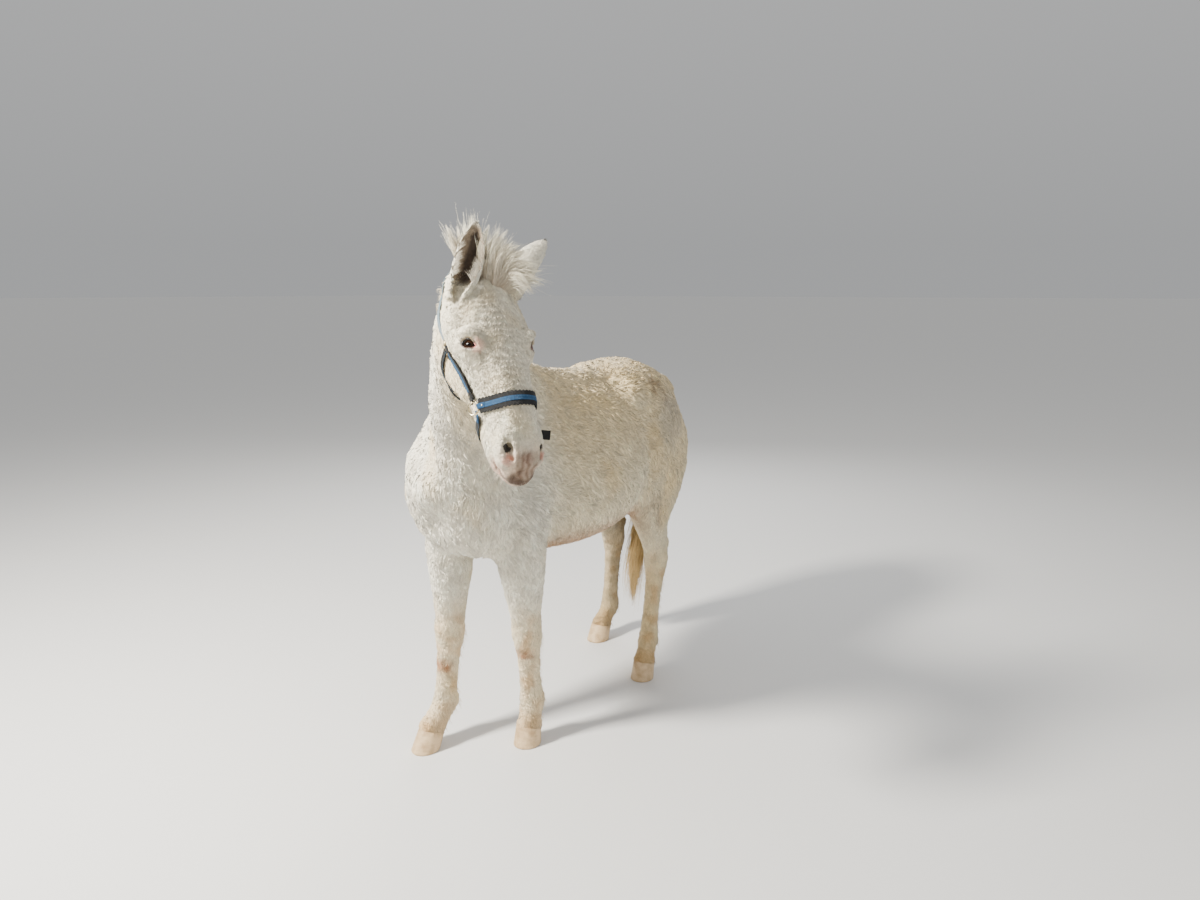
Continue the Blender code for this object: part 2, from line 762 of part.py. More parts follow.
def place(mesh, name, material=None):
    """A new object in the scene that holds a mesh."""
    obj = bpy.data.objects.new(name, mesh)
    bpy.context.scene.collection.objects.link(obj)
    if material is not None:
        mesh.materials.clear()
        mesh.materials.append(material)
    return obj


def shape(points, faces, name="shape"):
    mesh = bpy.data.meshes.new(name)
    mesh.from_pydata([tuple(map(float, p)) for p in points], [], faces)
    return mesh


def applied(obj):
    """The mesh that an object's modifiers leave; the object goes."""
    graph = bpy.context.evaluated_depsgraph_get()
    mesh = bpy.data.meshes.new_from_object(obj.evaluated_get(graph), depsgraph=graph)
    bpy.data.objects.remove(obj)
    return mesh


def boolean(mesh, others, operation, solver="EXACT"):
    """A mesh joined with, cut by or kept inside other meshes."""
    obj = place(mesh, "working")
    group = bpy.data.collections.new("others")
    bpy.context.scene.collection.children.link(group)
    cutters = []
    for other in others:
        cutter = bpy.data.objects.new("cutter", other)
        group.objects.link(cutter)
        cutter.hide_render = True
        cutter.display_type = "WIRE"
        cutters.append(cutter)
    modifier = obj.modifiers.new("Boolean", "BOOLEAN")
    modifier.operation = operation
    modifier.solver = solver
    if len(cutters) == 1:
        modifier.object = cutters[0]
    else:
        modifier.operand_type = "COLLECTION"
        modifier.collection = group
    result = applied(obj)
    for cutter in cutters:
        bpy.data.objects.remove(cutter)
    bpy.data.collections.remove(group)
    return result


def largest(mesh):
    """A mesh with only its largest closed surface, in triangles."""
    work = bmesh.new()
    work.from_mesh(mesh)
    bmesh.ops.triangulate(work, faces=work.faces)
    left, islands = set(work.verts), []
    while left:
        island, edge = set(), [left.pop()]
        while edge:
            vertex = edge.pop()
            island.add(vertex)
            for link in vertex.link_edges:
                other = link.other_vert(vertex)
                if other in left:
                    left.discard(other)
                    edge.append(other)
        islands.append(island)

    def spread(island):
        """The long diagonal of an island's box."""
        places = np.array([v.co for v in island])
        return np.linalg.norm(places.max(axis=0) - places.min(axis=0))

    keep = max(islands, key=spread)
    bmesh.ops.delete(work, geom=[v for v in work.verts if v not in keep], context="VERTS")
    bmesh.ops.recalc_face_normals(work, faces=work.faces)
    work.to_mesh(mesh)
    work.free()
    return mesh


def swollen(mesh, by):
    """A copy of a mesh whose surface lies further out."""
    copy = mesh.copy()
    places = np.array([v.co + by * v.normal for v in mesh.vertices])
    copy.vertices.foreach_set("co", places.ravel())
    copy.update()
    return copy


def block(corners, grow=0.0):
    """A cutter with flat sides round its corners, each side moved out by the growth."""
    work = bmesh.new()
    for corner in corners:
        work.verts.new(tuple(map(float, corner)))
    bmesh.ops.convex_hull(work, input=work.verts)
    bmesh.ops.recalc_face_normals(work, faces=work.faces)
    shifts = []
    for vertex in work.verts:
        around = {tuple(np.round(f.normal, 3)) for f in vertex.link_faces}
        normals = np.array(sorted(around))
        shifts.append(np.linalg.lstsq(normals, np.full(len(normals), grow), rcond=None)[0])
    for vertex, shift in zip(list(work.verts), shifts):
        vertex.co += Vector(shift)
    mesh = bpy.data.meshes.new("block")
    work.to_mesh(mesh)
    work.free()
    return mesh


def split(mesh, corners):
    """The parts of a mesh inside and outside a cutter, a gap apart."""
    inside = boolean(mesh.copy(), [block(corners)], "INTERSECT")
    outside = boolean(mesh, [block(corners, GAP)], "DIFFERENCE")
    return inside, outside


def slab(middle, normal, across, deep, half_across, half_high):
    """Corners of a box that reaches from a plane along its normal."""
    normal, across = unit(np.array(normal)), np.array(across)
    across = unit(across - (across @ normal) * normal)
    high = np.cross(normal, across)
    return [
        middle + n * normal + a * across + h * high
        for n in (0, deep)
        for a in (-half_across, half_across)
        for h in (-half_high, half_high)
    ]


def leg_block(front, rear, taper, side, top, slope, outer=0.36, inner=0.015):
    """Corners of the block that takes a leg off: it narrows upwards, and its top rises outwards."""
    corners = []
    for f, inwards in ((front, -taper), (rear, taper)):
        for l in (inner, outer):
            corners += [at(f, side * l, -0.05), at(f + inwards, side * l, top + slope * l)]
    return corners


def sides(count, around):
    """The quads between rings of points, each ring joined to the next."""
    return [
        (k * around + i, k * around + j, (k + 1) * around + j, (k + 1) * around + i)
        for k in range(count - 1)
        for i, j in ((i, (i + 1) % around) for i in range(around))
    ]


def loft(rings):
    """A closed mesh through rings of points, its two ends filled."""
    rings = np.array(rings)
    count, around = rings.shape[:2]
    faces = sides(count, around)
    faces.append(tuple(reversed(range(around))))
    faces.append(tuple((count - 1) * around + i for i in range(around)))
    return facing_out(shape(rings.reshape(-1, 3), faces))


def facing_out(mesh):
    """A closed mesh in triangles, its faces turned outwards."""
    work = bmesh.new()
    work.from_mesh(mesh)
    bmesh.ops.triangulate(work, faces=work.faces)
    bmesh.ops.recalc_face_normals(work, faces=work.faces)
    work.to_mesh(mesh)
    work.free()
    return mesh


# Hooves: the middle of each sole, and how far each is turned out
HOOVES = {
    "front_left": (0.362, 0.144, math.radians(4)),
    "front_right": (0.600, -0.124, math.radians(-2)),
    "hind_left": (-0.333, 0.197, math.radians(12)),
    "hind_right": (-0.567, -0.188, math.radians(-8)),
}
SOLE = (0.0465, 0.0570)
CORONET = (0.0430, 0.0480)
CORONET_TILT = 0.30
HOOF_POINTS = 22


def coronet(name):
    """The middle of a hoof's top, on the line of its leg."""
    joints = FORE_JOINTS if "front" in name else HIND_JOINTS
    forward, left, _ = joints[name.split("_")[1]][-1]
    return forward, left, 0.063


def hoof(name):
    """A hoof from its flat sole to its tilted coronet."""
    forward, left, turn = HOOVES[name]
    top_forward, top_left, top_up = coronet(name)
    rings = []
    for share, swell, up in ((0, 0.95, 0.0), (0, 1.0, 0.006), (0.5, 1.0, None), (1, 1.0, None)):
        ring = []
        for i in range(HOOF_POINTS):
            angle = 2 * math.pi * i / HOOF_POINTS
            ahead, aside = math.cos(angle), math.sin(angle)
            width = (SOLE[0] + share * (CORONET[0] - SOLE[0])) * swell
            depth = (SOLE[1] + share * (CORONET[1] - SOLE[1])) * swell * (1 if ahead > 0 else 0.9)
            f, l = depth * ahead, width * aside * (1 + 0.08 * ahead)
            f, l = f * math.cos(turn) - l * math.sin(turn), f * math.sin(turn) + l * math.cos(turn)
            rise = top_up + CORONET_TILT * f
            ring.append(
                at(
                    forward + share * (top_forward - forward) + f,
                    left + share * (top_left - left) + l,
                    up if up is not None else 0.006 + share * (rise - 0.006),
                )
            )
        rings.append(ring)
    return loft(rings)


def coronet_block(name, grow):
    """Corners of the block under a hoof's top plane."""
    forward, left, up = coronet(name)
    return [
        at(forward + f, left + l, (up + CORONET_TILT * f + grow) if top else -0.08)
        for f in (-0.12, 0.12)
        for l in (-0.10, 0.10)
        for top in (0, 1)
    ]


def ball(centre, radius, segments=12, rings=8):
    work = bmesh.new()
    bmesh.ops.create_uvsphere(work, u_segments=segments, v_segments=rings, radius=radius)
    mesh = bpy.data.meshes.new("ball")
    work.to_mesh(mesh)
    work.free()
    turn = Matrix([ASIDE, OUT, ALONG]).transposed()
    mesh.transform(Matrix.Translation(Vector(centre)) @ turn.to_4x4())
    return facing_out(mesh)


# Ears: base on the head, then the directions of the tip and of the cup's opening
EARS = {
    "left": ((0.012, -0.046, 0.092), (-0.620, 0.200, 0.800), (-0.80, -0.15, 0.10)),
    "right": ((0.036, -0.036, -0.079), (-0.140, 0.235, 0.965), (0.860, 0.520, 0.05)),
}
EAR_LENGTH = 0.184
EAR_WALL = 0.0055
# Share of length, half width, how far the cup wraps round, and how deep it is
EAR_LEVELS = [
    (-0.16, 0.0290, 150, 1.00),
    (0.02, 0.0350, 138, 0.96),
    (0.18, 0.0395, 120, 0.88),
    (0.38, 0.0410, 106, 0.76),
    (0.58, 0.0380, 99, 0.66),
    (0.76, 0.0300, 95, 0.56),
    (0.90, 0.0185, 92, 0.50),
    (1.00, 0.0065, 90, 0.50),
]
EAR_POINTS = 7
# How far the ear's axis bows away from its opening, and how far its tip leans back
EAR_BOW = 0.018
EAR_LEAN = 0.010


def ear_frame(name):
    """The base of an ear, its axis, the way it opens and the way across it."""
    base, tip, opening = EARS[name]
    axis = towards(*tip)
    opening = towards(*opening)
    opening = unit(opening - (opening @ axis) * axis)
    return on_head(*base), axis, opening, np.cross(axis, opening)


def ear(name):
    """A cupped ear: an outer and an inner skin rolled round its axis."""
    base, axis, opening, across = ear_frame(name)
    rings = []
    for share, half, wrap, cup in EAR_LEVELS:
        wrap = math.radians(wrap)
        bow = EAR_BOW * math.sin(math.pi * max(share, 0)) - EAR_LEAN * share
        centre = base + share * EAR_LENGTH * axis - bow * opening
        wall = min(EAR_WALL, half / 2)
        outer, inner = [], []
        for i in range(EAR_POINTS + 1):
            angle = -wrap + 2 * wrap * i / EAR_POINTS
            spoke = math.sin(angle) * across - cup * math.cos(angle) * opening
            outer.append(centre + half * spoke)
            inner.append(centre + (half - wall) * spoke)
        rings.append(outer + inner[::-1])
    rings = np.array(rings)
    count, around = rings.shape[:2]
    faces = sides(count, around)
    for start in (0, (count - 1) * around):
        last = start + around - 1
        faces += [(start + i, start + i + 1, last - i - 1, last - i) for i in range(EAR_POINTS)]
    return facing_out(shape(rings.reshape(-1, 3), faces))


# A lock's section, in shares of its half width and half thickness
LOCK_SECTION = ((-1.0, -0.7), (1.0, -0.7), (0.0, 1.3))


def lock(root, start, finish, length, width, thickness, face, segments=5, sway=0.0):
    """The sections of a flat tapered lock of hair that bends from one direction to another."""
    place, rings = np.array(root, float), []
    for k in range(segments + 1):
        t = k / segments
        bend = t * t * (3 - 2 * t)
        way = unit((1 - bend) * np.array(start) + bend * np.array(finish))
        side = unit(np.cross(way, face))
        thin = unit(np.cross(side, way))
        half = width / 2 * (0.64 + 1.5 * t - 2.08 * t * t)
        deep = thickness / 2 * (1 - 0.75 * t)
        middle = place + sway * math.sin(2.6 * math.pi * t) * t * side
        rings.append([middle + a * half * side + b * deep * thin for a, b in LOCK_SECTION])
        place = place + way * length / segments
    return np.array(rings)


# How many locks each growth of long hair has, and how deep their roots are sunk
FORELOCK_LOCKS = 17
POLL_LOCKS = 4
MANE_LOCKS = 28
TAIL_LOCKS = 15
SUNK = 0.014
# The shares of the crest between which the mane grows
MANE_START = 0.14
MANE_END = 0.78
# The forelock fans out between these: towards the mule's left, towards its front left, and up
FAN_SIDE = towards(-0.566, 0.825, 0)
FAN_FRONT = towards(0.825, 0.566, 0)
UP = towards(0, 0, 1)


def fan_lock(limbs, root, degrees, lift, length, width):
    """A lock that rises from the poll and turns to its place in the fan."""
    root = settle(limbs, [root])[0]
    normal = slopes(limbs, np.array([root]))[0][0]
    angle = math.radians(degrees)
    finish = unit(math.cos(angle) * FAN_SIDE + math.sin(angle) * UP + lift * FAN_FRONT)
    start = unit(0.60 * UP + 0.60 * finish + 0.25 * FAN_FRONT)
    return lock(root - SUNK * normal, start, finish, length, width, 0.013, FAN_FRONT, 4, 0.004)


def forelock(limbs, chance):
    """Locks that rise between the ears, fan out and fall over to the left, and short ones behind."""
    locks = []
    for i in range(FORELOCK_LOCKS):
        share = (i + 0.5) / FORELOCK_LOCKS
        row = i % 3
        root = on_head(-0.006 + 0.024 * row, 0.000, -0.014 + 0.074 * share + 0.008 * (row - 1))
        degrees = 76 - 122 * share + chance.uniform(-7, 7)
        length = 0.166 - 0.022 * share - 0.010 * row + chance.uniform(-0.012, 0.012)
        locks.append(fan_lock(limbs, root, degrees, 0.28 - 0.14 * row, length, 0.036))
    for i in range(POLL_LOCKS):
        share = (i + 0.5) / POLL_LOCKS
        root = on_head(-0.044, -0.034, -0.056 + 0.046 * share)
        degrees = 130 - 40 * share + chance.uniform(-5, 5)
        length = 0.150 + chance.uniform(-0.015, 0.012)
        locks.append(fan_lock(limbs, root, degrees, -0.35, length, 0.030))
    return locks


def crest_line(count):
    """Places and directions along the top of the neck, from behind the poll to the withers."""
    rows = through(NECK[::-1], 8)
    places = [at(*row[:3]) for row in rows]
    ways = unit(np.gradient(np.array(places), axis=0))
    line = []
    for i in range(count):
        k = min(int((i + 0.5) / count * (len(rows) - 1)), len(rows) - 2)
        t = (i + 0.5) / count * (len(rows) - 1) - k
        place = places[k] + t * (places[k + 1] - places[k])
        rise = unit(RISE - (RISE @ ways[k]) * ways[k])
        depth = rows[k][4] + t * (rows[k + 1][4] - rows[k][4])
        line.append((place + rise * depth, rise, ways[k], (i + 0.5) / count))
    return line


def mane(limbs, chance):
    """Short locks that stand along the crest and lean over to the left."""
    locks = []
    for place, rise, way, share in crest_line(MANE_LOCKS):
        if not MANE_START < share < MANE_END:
            continue
        side = 0.012 * (-1) ** len(locks) + chance.uniform(-0.004, 0.004)
        side = max(side, 0.004) if share < 0.30 else side
        turned = unit(np.cross(way, rise))
        turned = turned if turned @ LEFT > 0 else -turned
        root = settle(limbs, [place + side * turned])[0]
        normal = slopes(limbs, np.array([root]))[0][0]
        start = unit(normal + (0.15 + 10 * side) * turned + 0.35 * way)
        finish = unit(0.15 * normal + (0.7 + 14 * side) * turned + chance.uniform(0.7, 1.1) * way)
        length = (0.118 + chance.uniform(-0.014, 0.014)) * (1 - 0.35 * share)
        locks.append(lock(root - SUNK * normal, start, finish, length, 0.046, 0.012, turned, 4))
    return locks


# The line down the middle of the tail below its dock
TAIL_LINE = DOCK[1:] + [
    (-0.756, -0.032, 0.760, 0.0),
    (-0.742, -0.058, 0.570, 0.0),
    (-0.726, -0.082, 0.390, 0.0),
    (-0.716, -0.092, 0.250, 0.0),
    (-0.710, -0.092, 0.130, 0.0),
]


DOCK_POINTS = 14


def tail_dock(grow=0.0):
    """The dock as a tube that starts inside the rump."""
    rings = []
    rows = through(DOCK, 3)
    places = np.array([at(*row[:3]) for row in rows])
    ways = unit(np.gradient(places, axis=0))
    places[0] -= grow * ways[0]
    for place, way, row in zip(places, ways, rows):
        side = unit(LEFT - (LEFT @ way) * way)
        back = np.cross(way, side)
        angles = [2 * math.pi * i / DOCK_POINTS for i in range(DOCK_POINTS)]
        radius = row[3] + grow
        rings.append([place + radius * (math.cos(a) * side + math.sin(a) * back) for a in angles])
    return loft(rings)


TAIL_SEGMENTS = 5
TAIL_LOCK = (0.044, 0.014)
# Down the tail's line: how far its locks lie from the line
TAIL_DOWN = (0.10, 0.25, 0.55, 0.80, 1.00)
TAIL_REACH = (0.022, 0.026, 0.040, 0.026, 0.004)
# Along a lock: its width as a share of the widest
LOCK_ALONG = (0.0, 0.15, 0.50, 0.80, 1.00)
LOCK_WIDTHS = (0.70, 1.00, 1.00, 0.62, 0.08)
# The turn between neighbouring locks round the tail
TAIL_TURN = 2.4


def tail_locks(chance):
    """Locks that hang round the dock and down the tail's line to its tip."""
    line = through([list(row) for row in TAIL_LINE], 6)
    places = np.array([at(*row[:3]) for row in line])
    runs = np.concatenate([[0], np.cumsum(np.linalg.norm(np.diff(places, axis=0), axis=1))])
    whole = runs[-1]

    def on_line(run):
        """The place at a distance down the line."""
        return np.array([np.interp(run, runs, places[:, j]) for j in range(3)])

    locks = []
    for i in range(TAIL_LOCKS):
        angle = TAIL_TURN * i
        start = (0.14 + 0.46 * i / TAIL_LOCKS) * whole
        longest = whole * chance.uniform(0.94, 1.0)
        stop = min(start + (0.62 - 0.10 * math.cos(angle)) * whole, longest)
        rings = []
        for t in np.linspace(0, 1, TAIL_SEGMENTS + 1):
            run = start + t * (stop - start)
            middle = on_line(run)
            way = unit(on_line(run + 0.01) - middle) if run < whole - 0.011 else towards(0.07, 0, -1)
            reach = np.interp(run / whole, TAIL_DOWN, TAIL_REACH) * min(1.0, 0.35 + 2.6 * t)
            side = unit(LEFT - (LEFT @ way) * way)
            back = np.cross(way, side)
            turn = angle + 0.5 * t
            spoke = math.cos(turn) * side + math.sin(turn) * back
            flat = np.cross(way, spoke)
            half = TAIL_LOCK[0] / 2 * np.interp(t, LOCK_ALONG, LOCK_WIDTHS)
            deep = TAIL_LOCK[1] / 2 * (1 - 0.7 * t)
            middle = middle + reach * spoke * (0.8 + 0.25 * math.sin(5.3 * i))
            rings.append([middle + a * half * flat + b * deep * spoke for a, b in LOCK_SECTION])
        locks.append(np.array(rings))
    return locks


# The halter, on the head: along, out, aside
RING = (0.355, -0.105, 0.070)
CHEEK = (0.148, -0.140, 0.088)
RING_MAJOR = 0.0175
CHEEK_MAJOR = 0.0140
RING_MINOR = 0.0026
# The room between the coat and a strap, and the little more under a ring
CLEAR = 0.0032
RING_SLACK = 0.0005


def over(limbs, line, count, height, pulled=True):
    """A path of even steps that lies at a height over the flesh, or hangs free where not pulled."""
    points = through([on_head(*p) for p in line], 8)
    for _ in range(2):
        points = settle(limbs, points, height, rounds=7, pulled=pulled)
        runs = np.concatenate([[0], np.cumsum(np.linalg.norm(np.diff(points, axis=0), axis=1))])
        even = np.linspace(0, runs[-1], count)
        points = np.stack([np.interp(even, runs, points[:, i]) for i in range(3)], axis=1)
    return points


def trimmed(points, start, stop):
    """A path with a length taken off each end."""
    runs = np.concatenate([[0], np.cumsum(np.linalg.norm(np.diff(points, axis=0), axis=1))])
    even = np.linspace(start, runs[-1] - stop, len(points))
    return np.stack([np.interp(even, runs, points[:, i]) for i in range(3)], axis=1)


def ribbon(limbs, points, width, thickness):
    """A strap of even width with its flat side to the flesh."""
    normals = slopes(limbs, points, 0.004)[0]
    ways = unit(np.gradient(points, axis=0))
    section = ((-1, 0), (1, 0), (1, thickness), (-1, thickness))
    rings = []
    for point, way, normal in zip(points, ways, normals):
        side = unit(np.cross(way, normal))
        top = unit(np.cross(side, way))
        rings.append([point + a * width / 2 * side + b * top for a, b in section])
    return loft(rings)


def torus(centre, normal, major, minor, around=16, tube=5):
    """A ring of round wire."""
    normal = unit(np.array(normal))
    first = unit(np.cross(normal, ALONG))
    second = np.cross(normal, first)
    points, faces = [], []
    for i in range(around):
        a = 2 * math.pi * i / around
        spoke = math.cos(a) * first + math.sin(a) * second
        for j in range(tube):
            b = 2 * math.pi * j / tube
            points.append(centre + (major + minor * math.cos(b)) * spoke + minor * math.sin(b) * normal)
            k, n = (i + 1) % around, (j + 1) % tube
            faces.append((i * tube + j, k * tube + j, k * tube + n, i * tube + n))
    return facing_out(shape(points, faces))


def halter_rings(limbs):
    """The middle, normal and radius of each ring, by kind and side."""
    rings = {}
    for name, y in (("left", 1), ("right", -1)):
        for kind, place, major in (("ring", RING, RING_MAJOR), ("cheek_ring", CHEEK, CHEEK_MAJOR)):
            rest = [on_head(*on_side(place, y))]
            centre = settle(limbs, rest, CLEAR + RING_MINOR + RING_SLACK)[0]
            normal = slopes(limbs, np.array([centre]), 0.01)[0][0]
            rings[f"{kind}_{name}"] = (centre, normal, major)
    return rings


# How far a strap stops short of a ring's middle
RING_END = RING_MAJOR + RING_MINOR + 0.0016
CHEEK_END = CHEEK_MAJOR + RING_MINOR + 0.0016
# Half of each strap that goes round the head, from its left ring to the head's middle
NOSE_ROUTE = [RING, (0.369, -0.060, 0.076), (0.378, -0.015, 0.050), (0.381, 0.002, 0.0)]
CHIN_ROUTE = [RING, (0.385, -0.150, 0.055), (0.405, -0.190, 0.032), (0.410, -0.203, 0.0)]
CROWN_ROUTE = [
    CHEEK,
    (0.062, -0.142, 0.098),
    (0.000, -0.128, 0.086),
    (-0.042, -0.096, 0.056),
    (-0.058, -0.072, 0.0),
]
THROAT_ROUTE = [
    CHEEK,
    (0.165, -0.190, 0.092),
    (0.196, -0.245, 0.072),
    (0.226, -0.278, 0.036),
    (0.234, -0.288, 0.0),
]


def round_head(route):
    """A strap's route from the right side over to the left, from half of it."""
    return [on_side(place, -1) for place in route] + route[-2::-1]


def halter_straps(limbs):
    """The path, width and thickness of each strap."""
    nose = trimmed(over(limbs, round_head(NOSE_ROUTE), 26, CLEAR), RING_END, RING_END)
    chin = trimmed(over(limbs, round_head(CHIN_ROUTE), 24, CLEAR), RING_END, RING_END)
    crown = trimmed(over(limbs, round_head(CROWN_ROUTE), 32, CLEAR), CHEEK_END, CHEEK_END)
    throat = over(limbs, round_head(THROAT_ROUTE), 28, CLEAR + 0.0012, False)
    straps = {
        "noseband": (nose, 0.036, 0.0060),
        "chin_strap": (chin, 0.025, 0.0030),
        "crown_strap": (crown, 0.025, 0.0030),
        "throat_strap": (trimmed(throat, CHEEK_END, CHEEK_END), 0.018, 0.0030),
    }
    for name, y in (("left", 1), ("right", -1)):
        cheek = [RING, (0.298, -0.110, 0.082), (0.220, -0.122, 0.098), CHEEK]
        path = over(limbs, [on_side(place, y) for place in cheek], 14, CLEAR)
        straps[f"cheek_strap_{name}"] = (trimmed(path, RING_END, CHEEK_END), 0.030, 0.0050)
    return straps


def halter(limbs):
    """Straps and rings by node name."""
    parts = {}
    for name, (centre, normal, major) in halter_rings(limbs).items():
        parts[f"halter_{name}"] = torus(centre, normal, major, RING_MINOR)
    for name, (path, width, thickness) in halter_straps(limbs).items():
        parts[f"halter_{name}"] = ribbon(limbs, path, width, thickness)
    return parts


# Colour, roughness and metallic of each surface
SURFACES = {
    "coat": ((0.72, 0.66, 0.54), 0.85, 0.0),
    "face": ((0.76, 0.70, 0.60), 0.85, 0.0),
    "tail_hair": ((0.42, 0.34, 0.22), 0.80, 0.0),
    "ear_hair": ((0.70, 0.65, 0.56), 0.85, 0.0),
    "horn": ((0.55, 0.46, 0.34), 0.55, 0.0),
    "eye": ((0.020, 0.014, 0.012), 0.08, 0.0),
    "webbing": ((0.012, 0.016, 0.022), 0.75, 0.0),
    "padding": ((0.010, 0.090, 0.190), 0.70, 0.0),
    "metal": ((0.72, 0.64, 0.46), 0.30, 1.0),
}


def material(name, surface):
    """A node's own material, with a surface's colour, roughness and metallic."""
    colour, roughness, metallic = SURFACES[surface]
    made = bpy.data.materials.new(name)
    made.use_nodes = True
    shader = made.node_tree.nodes["Principled BSDF"]
    shader.inputs["Base Color"].default_value = (*colour, 1)
    shader.inputs["Roughness"].default_value = roughness
    shader.inputs["Metallic"].default_value = metallic
    return made


def thinned_body(limbs):
    """The field's mesh, thinned and laid back on the field."""
    obj = place(body_mesh(limbs, head()), "body")
    obj.modifiers.new("Triangulate", "TRIANGULATE")
    thin = obj.modifiers.new("Decimate", "DECIMATE")
    thin.ratio = FLESH_TRIANGLES / (2 * len(obj.data.polygons))
    mesh = applied(obj)
    places = np.array([v.co for v in mesh.vertices])
    mesh.vertices.foreach_set("co", settle(limbs, places, rounds=3).ravel())
    mesh.update()
    return mesh


# Where the neck leaves the torso: a place on the cut, and the way it faces
NECK_CUT = (at(0.455, 0.035, 1.155), towards(0.70, 0.24, 0.68))
# The block that takes each leg off: front, rear, taper, side, top, slope
LEG_BLOCKS = {
    "front_left": (0.620, 0.160, 0.120, 1, 0.645, 0.85),
    "front_right": (0.820, 0.220, 0.160, -1, 0.645, 0.85),
    "hind_left": (-0.110, -0.700, 0.120, 1, 0.715, 0.40),
    "hind_right": (-0.200, -0.900, 0.130, -1, 0.715, 0.40),
}
# How far the flesh is swollen where an ear is cut by it, and an ear where it cuts the flesh
EAR_SEAT = 0.0010
EAR_ROOM = 0.0012


def parted(mesh):
    """The flesh as head, neck, torso and legs, by node name."""
    nodes = {}
    head_block = [on_head(*corner, aside) for corner in HEAD_BLOCK for aside in (-0.35, 0.35)]
    nodes["head"], mesh = split(mesh, head_block)
    nodes["neck"], mesh = split(mesh, slab(*NECK_CUT, LEFT, 1.0, 0.5, 0.5))
    for name, sizes in LEG_BLOCKS.items():
        limb, mesh = split(mesh, leg_block(*sizes))
        below = block(coronet_block(name, GAP))
        nodes[f"leg_{name}"] = boolean(limb, [below], "DIFFERENCE")
    nodes["torso"] = boolean(mesh, [tail_dock(GAP)], "DIFFERENCE")
    return nodes


def surface_of(name):
    """Which surface a node has."""
    if name.startswith("halter"):
        padded = "noseband" in name or "cheek" in name
        return "metal" if "ring" in name else "padding" if padded else "webbing"
    kinds = {"head": "face", "ear": "ear_hair", "eye": "eye", "hoof": "horn", "tail": "tail_hair"}
    return kinds.get(name.split("_")[0], "coat")


def build():
    """The whole mule, one object for each node."""
    for obj in list(bpy.data.objects):
        bpy.data.objects.remove(obj)
    limbs = flesh()
    whole = thinned_body(limbs)
    seat = swollen(whole, EAR_SEAT)
    nodes = parted(whole)
    nodes["tail"] = tail_dock()
    for name in HOOVES:
        nodes[f"hoof_{name}"] = hoof(name)

    chance = random.Random(7)
    hair = {"tail": tail_locks(chance), "neck": mane(limbs, chance), "head": forelock(limbs, chance)}
    for name, locks in hair.items():
        nodes[name] = boolean(nodes[name], [loft(rings) for rings in locks], "UNION", "MANIFOLD")

    for name, y in (("left", 1), ("right", -1)):
        centre = on_head(*on_side(EYE, y))
        socket = ball(centre, EYE_RADIUS + GAP)
        room = swollen(ear(name), EAR_ROOM)
        nodes[f"eye_{name}"] = ball(centre, EYE_RADIUS)
        nodes[f"ear_{name}"] = boolean(ear(name), [seat], "DIFFERENCE", "MANIFOLD")
        nodes["head"] = boolean(nodes["head"], [socket], "DIFFERENCE", "MANIFOLD")
        nodes["head"] = boolean(nodes["head"], [room], "DIFFERENCE", "MANIFOLD")
        nodes["neck"] = boolean(nodes["neck"], [room], "DIFFERENCE", "MANIFOLD")
    nodes.update(halter(limbs))

    for name, mesh in nodes.items():
        obj = place(largest(mesh), name, material(name, surface_of(name)))
        obj.data.name = name
    for mesh in list(bpy.data.meshes):
        if not mesh.users:
            bpy.data.meshes.remove(mesh)


if __name__ == "__main__":
    build()
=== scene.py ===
"""The looks of the live white mule: one skin under a coat of fine tufts, hair, eyes, hooves and halter.

The flesh is the smooth field that the solids are made from, taken in by the depth
of the coat.  The coat's tufts are laid over it along the lie of the hair, and carry
the skin's own colours.  Places are (forward, left, up) in metres, as in the solids.
"""

import json
import math
import random

import bmesh
import bpy
import numpy as np
import openvdb
from mathutils import Matrix, Vector

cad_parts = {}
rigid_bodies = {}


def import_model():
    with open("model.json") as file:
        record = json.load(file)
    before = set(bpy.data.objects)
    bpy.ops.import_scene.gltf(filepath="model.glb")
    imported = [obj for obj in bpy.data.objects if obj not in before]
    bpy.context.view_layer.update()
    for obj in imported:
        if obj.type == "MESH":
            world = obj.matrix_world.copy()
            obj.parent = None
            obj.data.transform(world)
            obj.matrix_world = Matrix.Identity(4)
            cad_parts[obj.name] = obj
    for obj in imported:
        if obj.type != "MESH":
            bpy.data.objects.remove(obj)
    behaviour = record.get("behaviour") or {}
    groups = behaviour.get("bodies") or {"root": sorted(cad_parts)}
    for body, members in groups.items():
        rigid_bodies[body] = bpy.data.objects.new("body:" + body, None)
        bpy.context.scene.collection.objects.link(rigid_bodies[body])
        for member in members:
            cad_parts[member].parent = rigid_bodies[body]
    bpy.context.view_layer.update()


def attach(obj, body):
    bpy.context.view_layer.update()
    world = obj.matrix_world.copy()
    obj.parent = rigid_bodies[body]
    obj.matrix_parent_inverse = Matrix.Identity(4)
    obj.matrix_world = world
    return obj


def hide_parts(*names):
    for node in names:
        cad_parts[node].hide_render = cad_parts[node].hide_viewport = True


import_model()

# The skin's mesh: cells round the head and over the body
FINE_CELL = 0.0050
COARSE_CELL = 0.0112

# Driving sizes of the animal, in metres
WITHERS_UP = 1.365
CENTRE_FORWARD = 0.052
CENTRE_LEFT = 0.154
# The head: where the poll is, and how it is turned
POLL = (0.743, 0.345, 1.647)
HEAD_YAW = math.radians(71.0)
HEAD_PITCH = math.radians(32.5)
HEAD_ROLL = math.radians(-4.2)
HEAD_SCALE = 1.02
# How far the field is worked out round a shape, and its value beyond
REACH = 0.05
FAR = 0.3
# The longest step of a point on its way to the surface
LONGEST_STEP = 0.01


